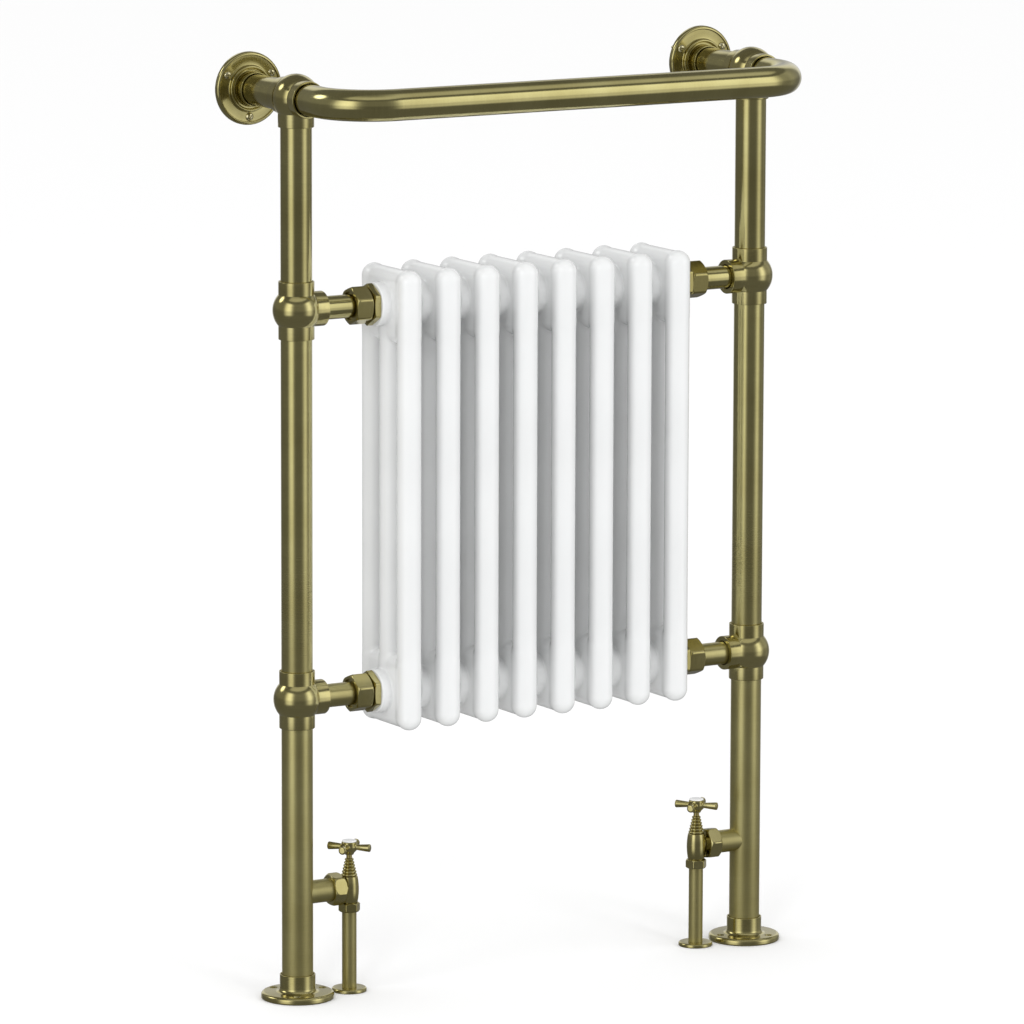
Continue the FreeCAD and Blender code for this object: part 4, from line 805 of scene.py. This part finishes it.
valve_x = middle("supply_pipe_right").x
port_z = middle("valve_branch_left").z
port = port_z / MM
BRANCH, BRANCH_START = 11.9, 9
VALVE_NUT_FLATS, VALVE_NUT_START, VALVE_NUT_END = 30, 36.7, 50.7
GLAND_FLATS = 20
INLET, INLET_END = 8.3, 21.5
BARREL, BARREL_SWELL = 8.6, 1.4
BARREL_BELOW, BARREL_ABOVE = 15.5, 12
BARREL_STEPS = 16
NECK, NECK_END, NECK_FLANGE, NECK_FLANGE_END = 8.2, 11, 12.4, 17
PIPE_BORE = 6.7
ROSE_THICK = 4
valve_nuts, glands, roses = [], [], []
for side_name, side in SIDES:
    inwards, outwards = ("-x", "x") if side > 0 else ("x", "-x")
    node_name = "valve_branch_" + side_name
    centre = (side * posts_x, posts_y, port_z)
    low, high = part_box(node_name)
    reach = max(abs(low.x - side * posts_x), abs(high.x - side * posts_x)) / MM
    stub = lathe(node_name, [(0, BRANCH_START), (BRANCH, BRANCH_START), (BRANCH, reach), (0, reach)])
    finish_piece(piece(node_name + "_tube", stub, centre, inwards), brass, "root", node_name)
    nut = nut_outline(BRANCH + 0.15, VALVE_NUT_FLATS, VALVE_NUT_START, VALVE_NUT_END, 2.4)
    valve_nuts.append(nut_piece(nut, VALVE_NUT_FLATS, 10, centre, inwards))

    node_name = "valve_body_" + side_name
    barrel = [(0, port - INLET_END), (INLET, port - INLET_END), (INLET, port - BARREL_BELOW),
              (BARREL, port - BARREL_BELOW, 0.5)]
    for step in range(1, BARREL_STEPS):
        share = step / BARREL_STEPS
        barrel.append((BARREL + BARREL_SWELL * 4 * share * (1 - share),
                       port - BARREL_BELOW + (BARREL_BELOW + BARREL_ABOVE) * share))
    barrel += [(BARREL, port + BARREL_ABOVE, 0.6), (0, port + BARREL_ABOVE)]
    made = piece(node_name + "_casting", lathe(node_name, barrel), (side * valve_x, posts_y, 0))
    neck = [(0, 0), (NECK, 0), (NECK, NECK_END), (NECK_FLANGE, NECK_END), (NECK_FLANGE, NECK_FLANGE_END),
            (0, NECK_FLANGE_END)]
    combined(made, [piece("neck", lathe("neck", neck), (side * valve_x, posts_y, port_z), outwards)])
    finish_piece(made, cast_brass, "root", node_name)

    node_name = "supply_pipe_" + side_name
    low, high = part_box(node_name)
    pipe_radius = (high.x - low.x) / 2 / MM
    pipe_top = (high.z - low.z) / MM
    pipe = [(PIPE_BORE, 0, 0.2), (pipe_radius, 0, 0.2), (pipe_radius, pipe_top), (PIPE_BORE, pipe_top)]
    made = piece(node_name + "_tube", lathe(node_name, pipe), (side * valve_x, posts_y, 0))
    finish_piece(made, brass, "root", node_name)
    low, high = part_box("compression_nuts")
    gland = nut_outline(pipe_radius + 0.1, GLAND_FLATS, low.z / MM, high.z / MM, 1.5)
    glands.append(nut_piece(gland, GLAND_FLATS, 15, (side * valve_x, posts_y, 0)))
    rose_radius = (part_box("floor_roses")[1].x - valve_x) / MM
    rose = [(pipe_radius + 0.15, 0), (rose_radius, 0, 0.5), (rose_radius, ROSE_THICK, 1.9),
            (pipe_radius + 0.15, ROSE_THICK, 0.4)]
    roses.append(piece("rose", lathe("rose", rose), (side * valve_x, posts_y, 0)))
finish_piece(gathered("valve_union_nut_set", valve_nuts), cast_brass, "root",
             "valve_union_nuts")
finish_piece(gathered("compression_nut_set", glands), cast_brass, "root", "compression_nuts")
finish_piece(gathered("floor_rose_set", roses), cast_brass, "root", "floor_roses")


# ---- Bonnets and handles. A reeded cone screwed into each barrel, and above it a four-armed
# crosshead with a white glazed index disc, which turns with the spindle.

HUB_TOP = 13.5
ARM_LEVEL = 8
ARM_START, ARM_END = 5, 23.0
ARM_FILLET = 1.3


def crosshead_field(p):
    """Hub and four flared arms; origin at the foot of the hub, arms along X and Y before turning."""
    r = np.sqrt(p[..., 0] ** 2 + p[..., 1] ** 2)
    z = p[..., 2]
    waist = np.interp(z, [0, 1.6, 4.2, 8, 12.4, HUB_TOP], [4.4, 5.0, 7.4, 8.0, 8.0, 7.5])
    hub = np.maximum(r - waist, np.maximum(-z, z - HUB_TOP))
    ax, ay = np.abs(p[..., 0]), np.abs(p[..., 1])
    along, aside = np.maximum(ax, ay), np.minimum(ax, ay)
    thickness = np.interp(along, [6, 8.6, 21.8, 22.6, ARM_END], [3.0, 2.9, 4.1, 3.7, 2.8])
    arm = np.maximum(np.sqrt(aside ** 2 + (z - ARM_LEVEL) ** 2) - thickness,
                     np.maximum(along - ARM_END, ARM_START - along))
    return melted(hub, arm, ARM_FILLET)


ARM_TURN = math.radians(-48)
arm_grid = stepped((-24, 24, 0.5))
crosshead = skin_mesh("crosshead", crosshead_field, arm_grid, arm_grid, stepped((-1, 15, 0.5)))
crosshead.transform(Matrix.Rotation(ARM_TURN, 4, "Z"))
# fired white glaze: as glossy as the powder coat, and a cleaner white
glaze = powder_coat("white_glazed_index", "#E6E6E6", "#E0E1E1")
BONNET_FOOT, BONNET_TOP, BONNET_LENGTH = 8.2, 3.2, 19
BEADS, BEAD_STEPS, BEAD_HEIGHT = 6, 8, 1.15
WIDEST_BEAD, BEAD_TAPER = 8.3, 3.6
bead_pitch = BONNET_LENGTH / BEADS
cone = [(0, 0), (BONNET_FOOT, 0, 0.2)]
for bead in range(BEADS):
    groove = WIDEST_BEAD - BEAD_TAPER * bead / (BEADS - 1) - BEAD_HEIGHT
    for step in range(BEAD_STEPS + 1):
        share = step / BEAD_STEPS
        cone.append((groove + BEAD_HEIGHT * math.sin(math.pi * share),
                     bead_pitch * (bead + 0.04 + 0.92 * share)))
cone += [(BONNET_TOP, BONNET_LENGTH), (0, BONNET_LENGTH)]
DISC, SPIGOT, SPIGOT_DEPTH = 7.4, 6.6, 1.9
for side_name, side in SIDES:
    node_name = "bonnet_" + side_name
    made = piece(node_name + "_turning", lathe(node_name, cone),
                 (side * valve_x, posts_y, port_z + BARREL_ABOVE * MM))
    finish_piece(made, cast_brass, "root", node_name)
    body = "handle_" + side_name
    hub = (side * valve_x, posts_y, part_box(body)[0].z)
    made = piece(body + "_casting", crosshead if side < 0 else crosshead.copy(), hub)
    finish_piece(made, cast_brass, body, body)
    node_name = "index_disc_" + side_name
    disc_top = (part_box(node_name)[1].z - hub[2]) / MM
    disc = [(0, HUB_TOP - SPIGOT_DEPTH), (SPIGOT, HUB_TOP - SPIGOT_DEPTH), (SPIGOT, HUB_TOP + 0.1),
            (DISC, HUB_TOP + 0.1, 0.2), (DISC, disc_top - 0.2, 0.2), (DISC - 0.5, disc_top, 0.3),
            (0, disc_top)]
    made = piece(node_name + "_glazed", lathe(node_name, disc, sides=64), hub)
    finish_piece(made, glaze, body, node_name)


# ---- Inner pieces. What is sealed inside keeps its CAD shape: turned spindles and jumpers, olives,
# rubber washers and packing, steel nipples and handle screws.

def plain_surface(name, colour, shade, metallic, roughness, grain_mm):
    """A plain finish with a fine cast or turned grain."""
    material = bpy.data.materials.new(name)
    material.use_nodes = True
    tree = material.node_tree
    tree.nodes.clear()
    place = add(tree, "ShaderNodeTexCoord").outputs["Object"]
    grain = add(tree, "ShaderNodeTexNoise", {"Scale": 1 / (grain_mm * MM), "Detail": 3.0},
                {"Vector": place}).outputs["Fac"]
    tint = add(tree, "ShaderNodeValToRGB", links={"Fac": grain},
               stops=[(0.35, linear(shade)), (0.65, linear(colour))])
    dull = add(tree, "ShaderNodeMapRange", {"To Min": roughness - 0.08, "To Max": roughness + 0.08},
               {"Value": grain})
    bump = add(tree, "ShaderNodeBump", {"Strength": 0.3, "Distance": 0.02 * MM}, {"Height": grain})
    skin = add(tree, "ShaderNodeBsdfPrincipled", {"Metallic": metallic},
               {"Base Color": tint.outputs["Color"], "Roughness": dull.outputs["Result"],
                "Normal": bump.outputs["Normal"]})
    add(tree, "ShaderNodeOutputMaterial", links={"Surface": skin.outputs[0]})
    return material


# turned brass keeps fine tool marks, nitrile rubber is dull and nearly black, zinc plate is satin grey
turned_brass = plain_surface("turned_brass", "#C6B77C", "#B8A96C", 1.0, 0.3, 0.6)
rubber = plain_surface("black_nitrile_rubber", "#1E1E1E", "#161616", 0.0, 0.7, 0.4)
plated = plain_surface("zinc_plated_steel", "#B9BCBE", "#A6A9AB", 1.0, 0.35, 0.5)
INNER = {"spindle_left": turned_brass, "spindle_right": turned_brass, "jumper_left": turned_brass,
         "jumper_right": turned_brass, "olives": turned_brass, "jumper_washer_left": rubber,
         "jumper_washer_right": rubber, "union_seals": rubber, "valve_union_seals": rubber,
         "packing_rings": rubber, "section_nipples": plated, "handle_screw_left": plated,
         "handle_screw_right": plated}
for node_name, material in INNER.items():
    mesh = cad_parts[node_name].data
    mesh.materials.clear()
    mesh.materials.append(material)

low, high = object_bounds()
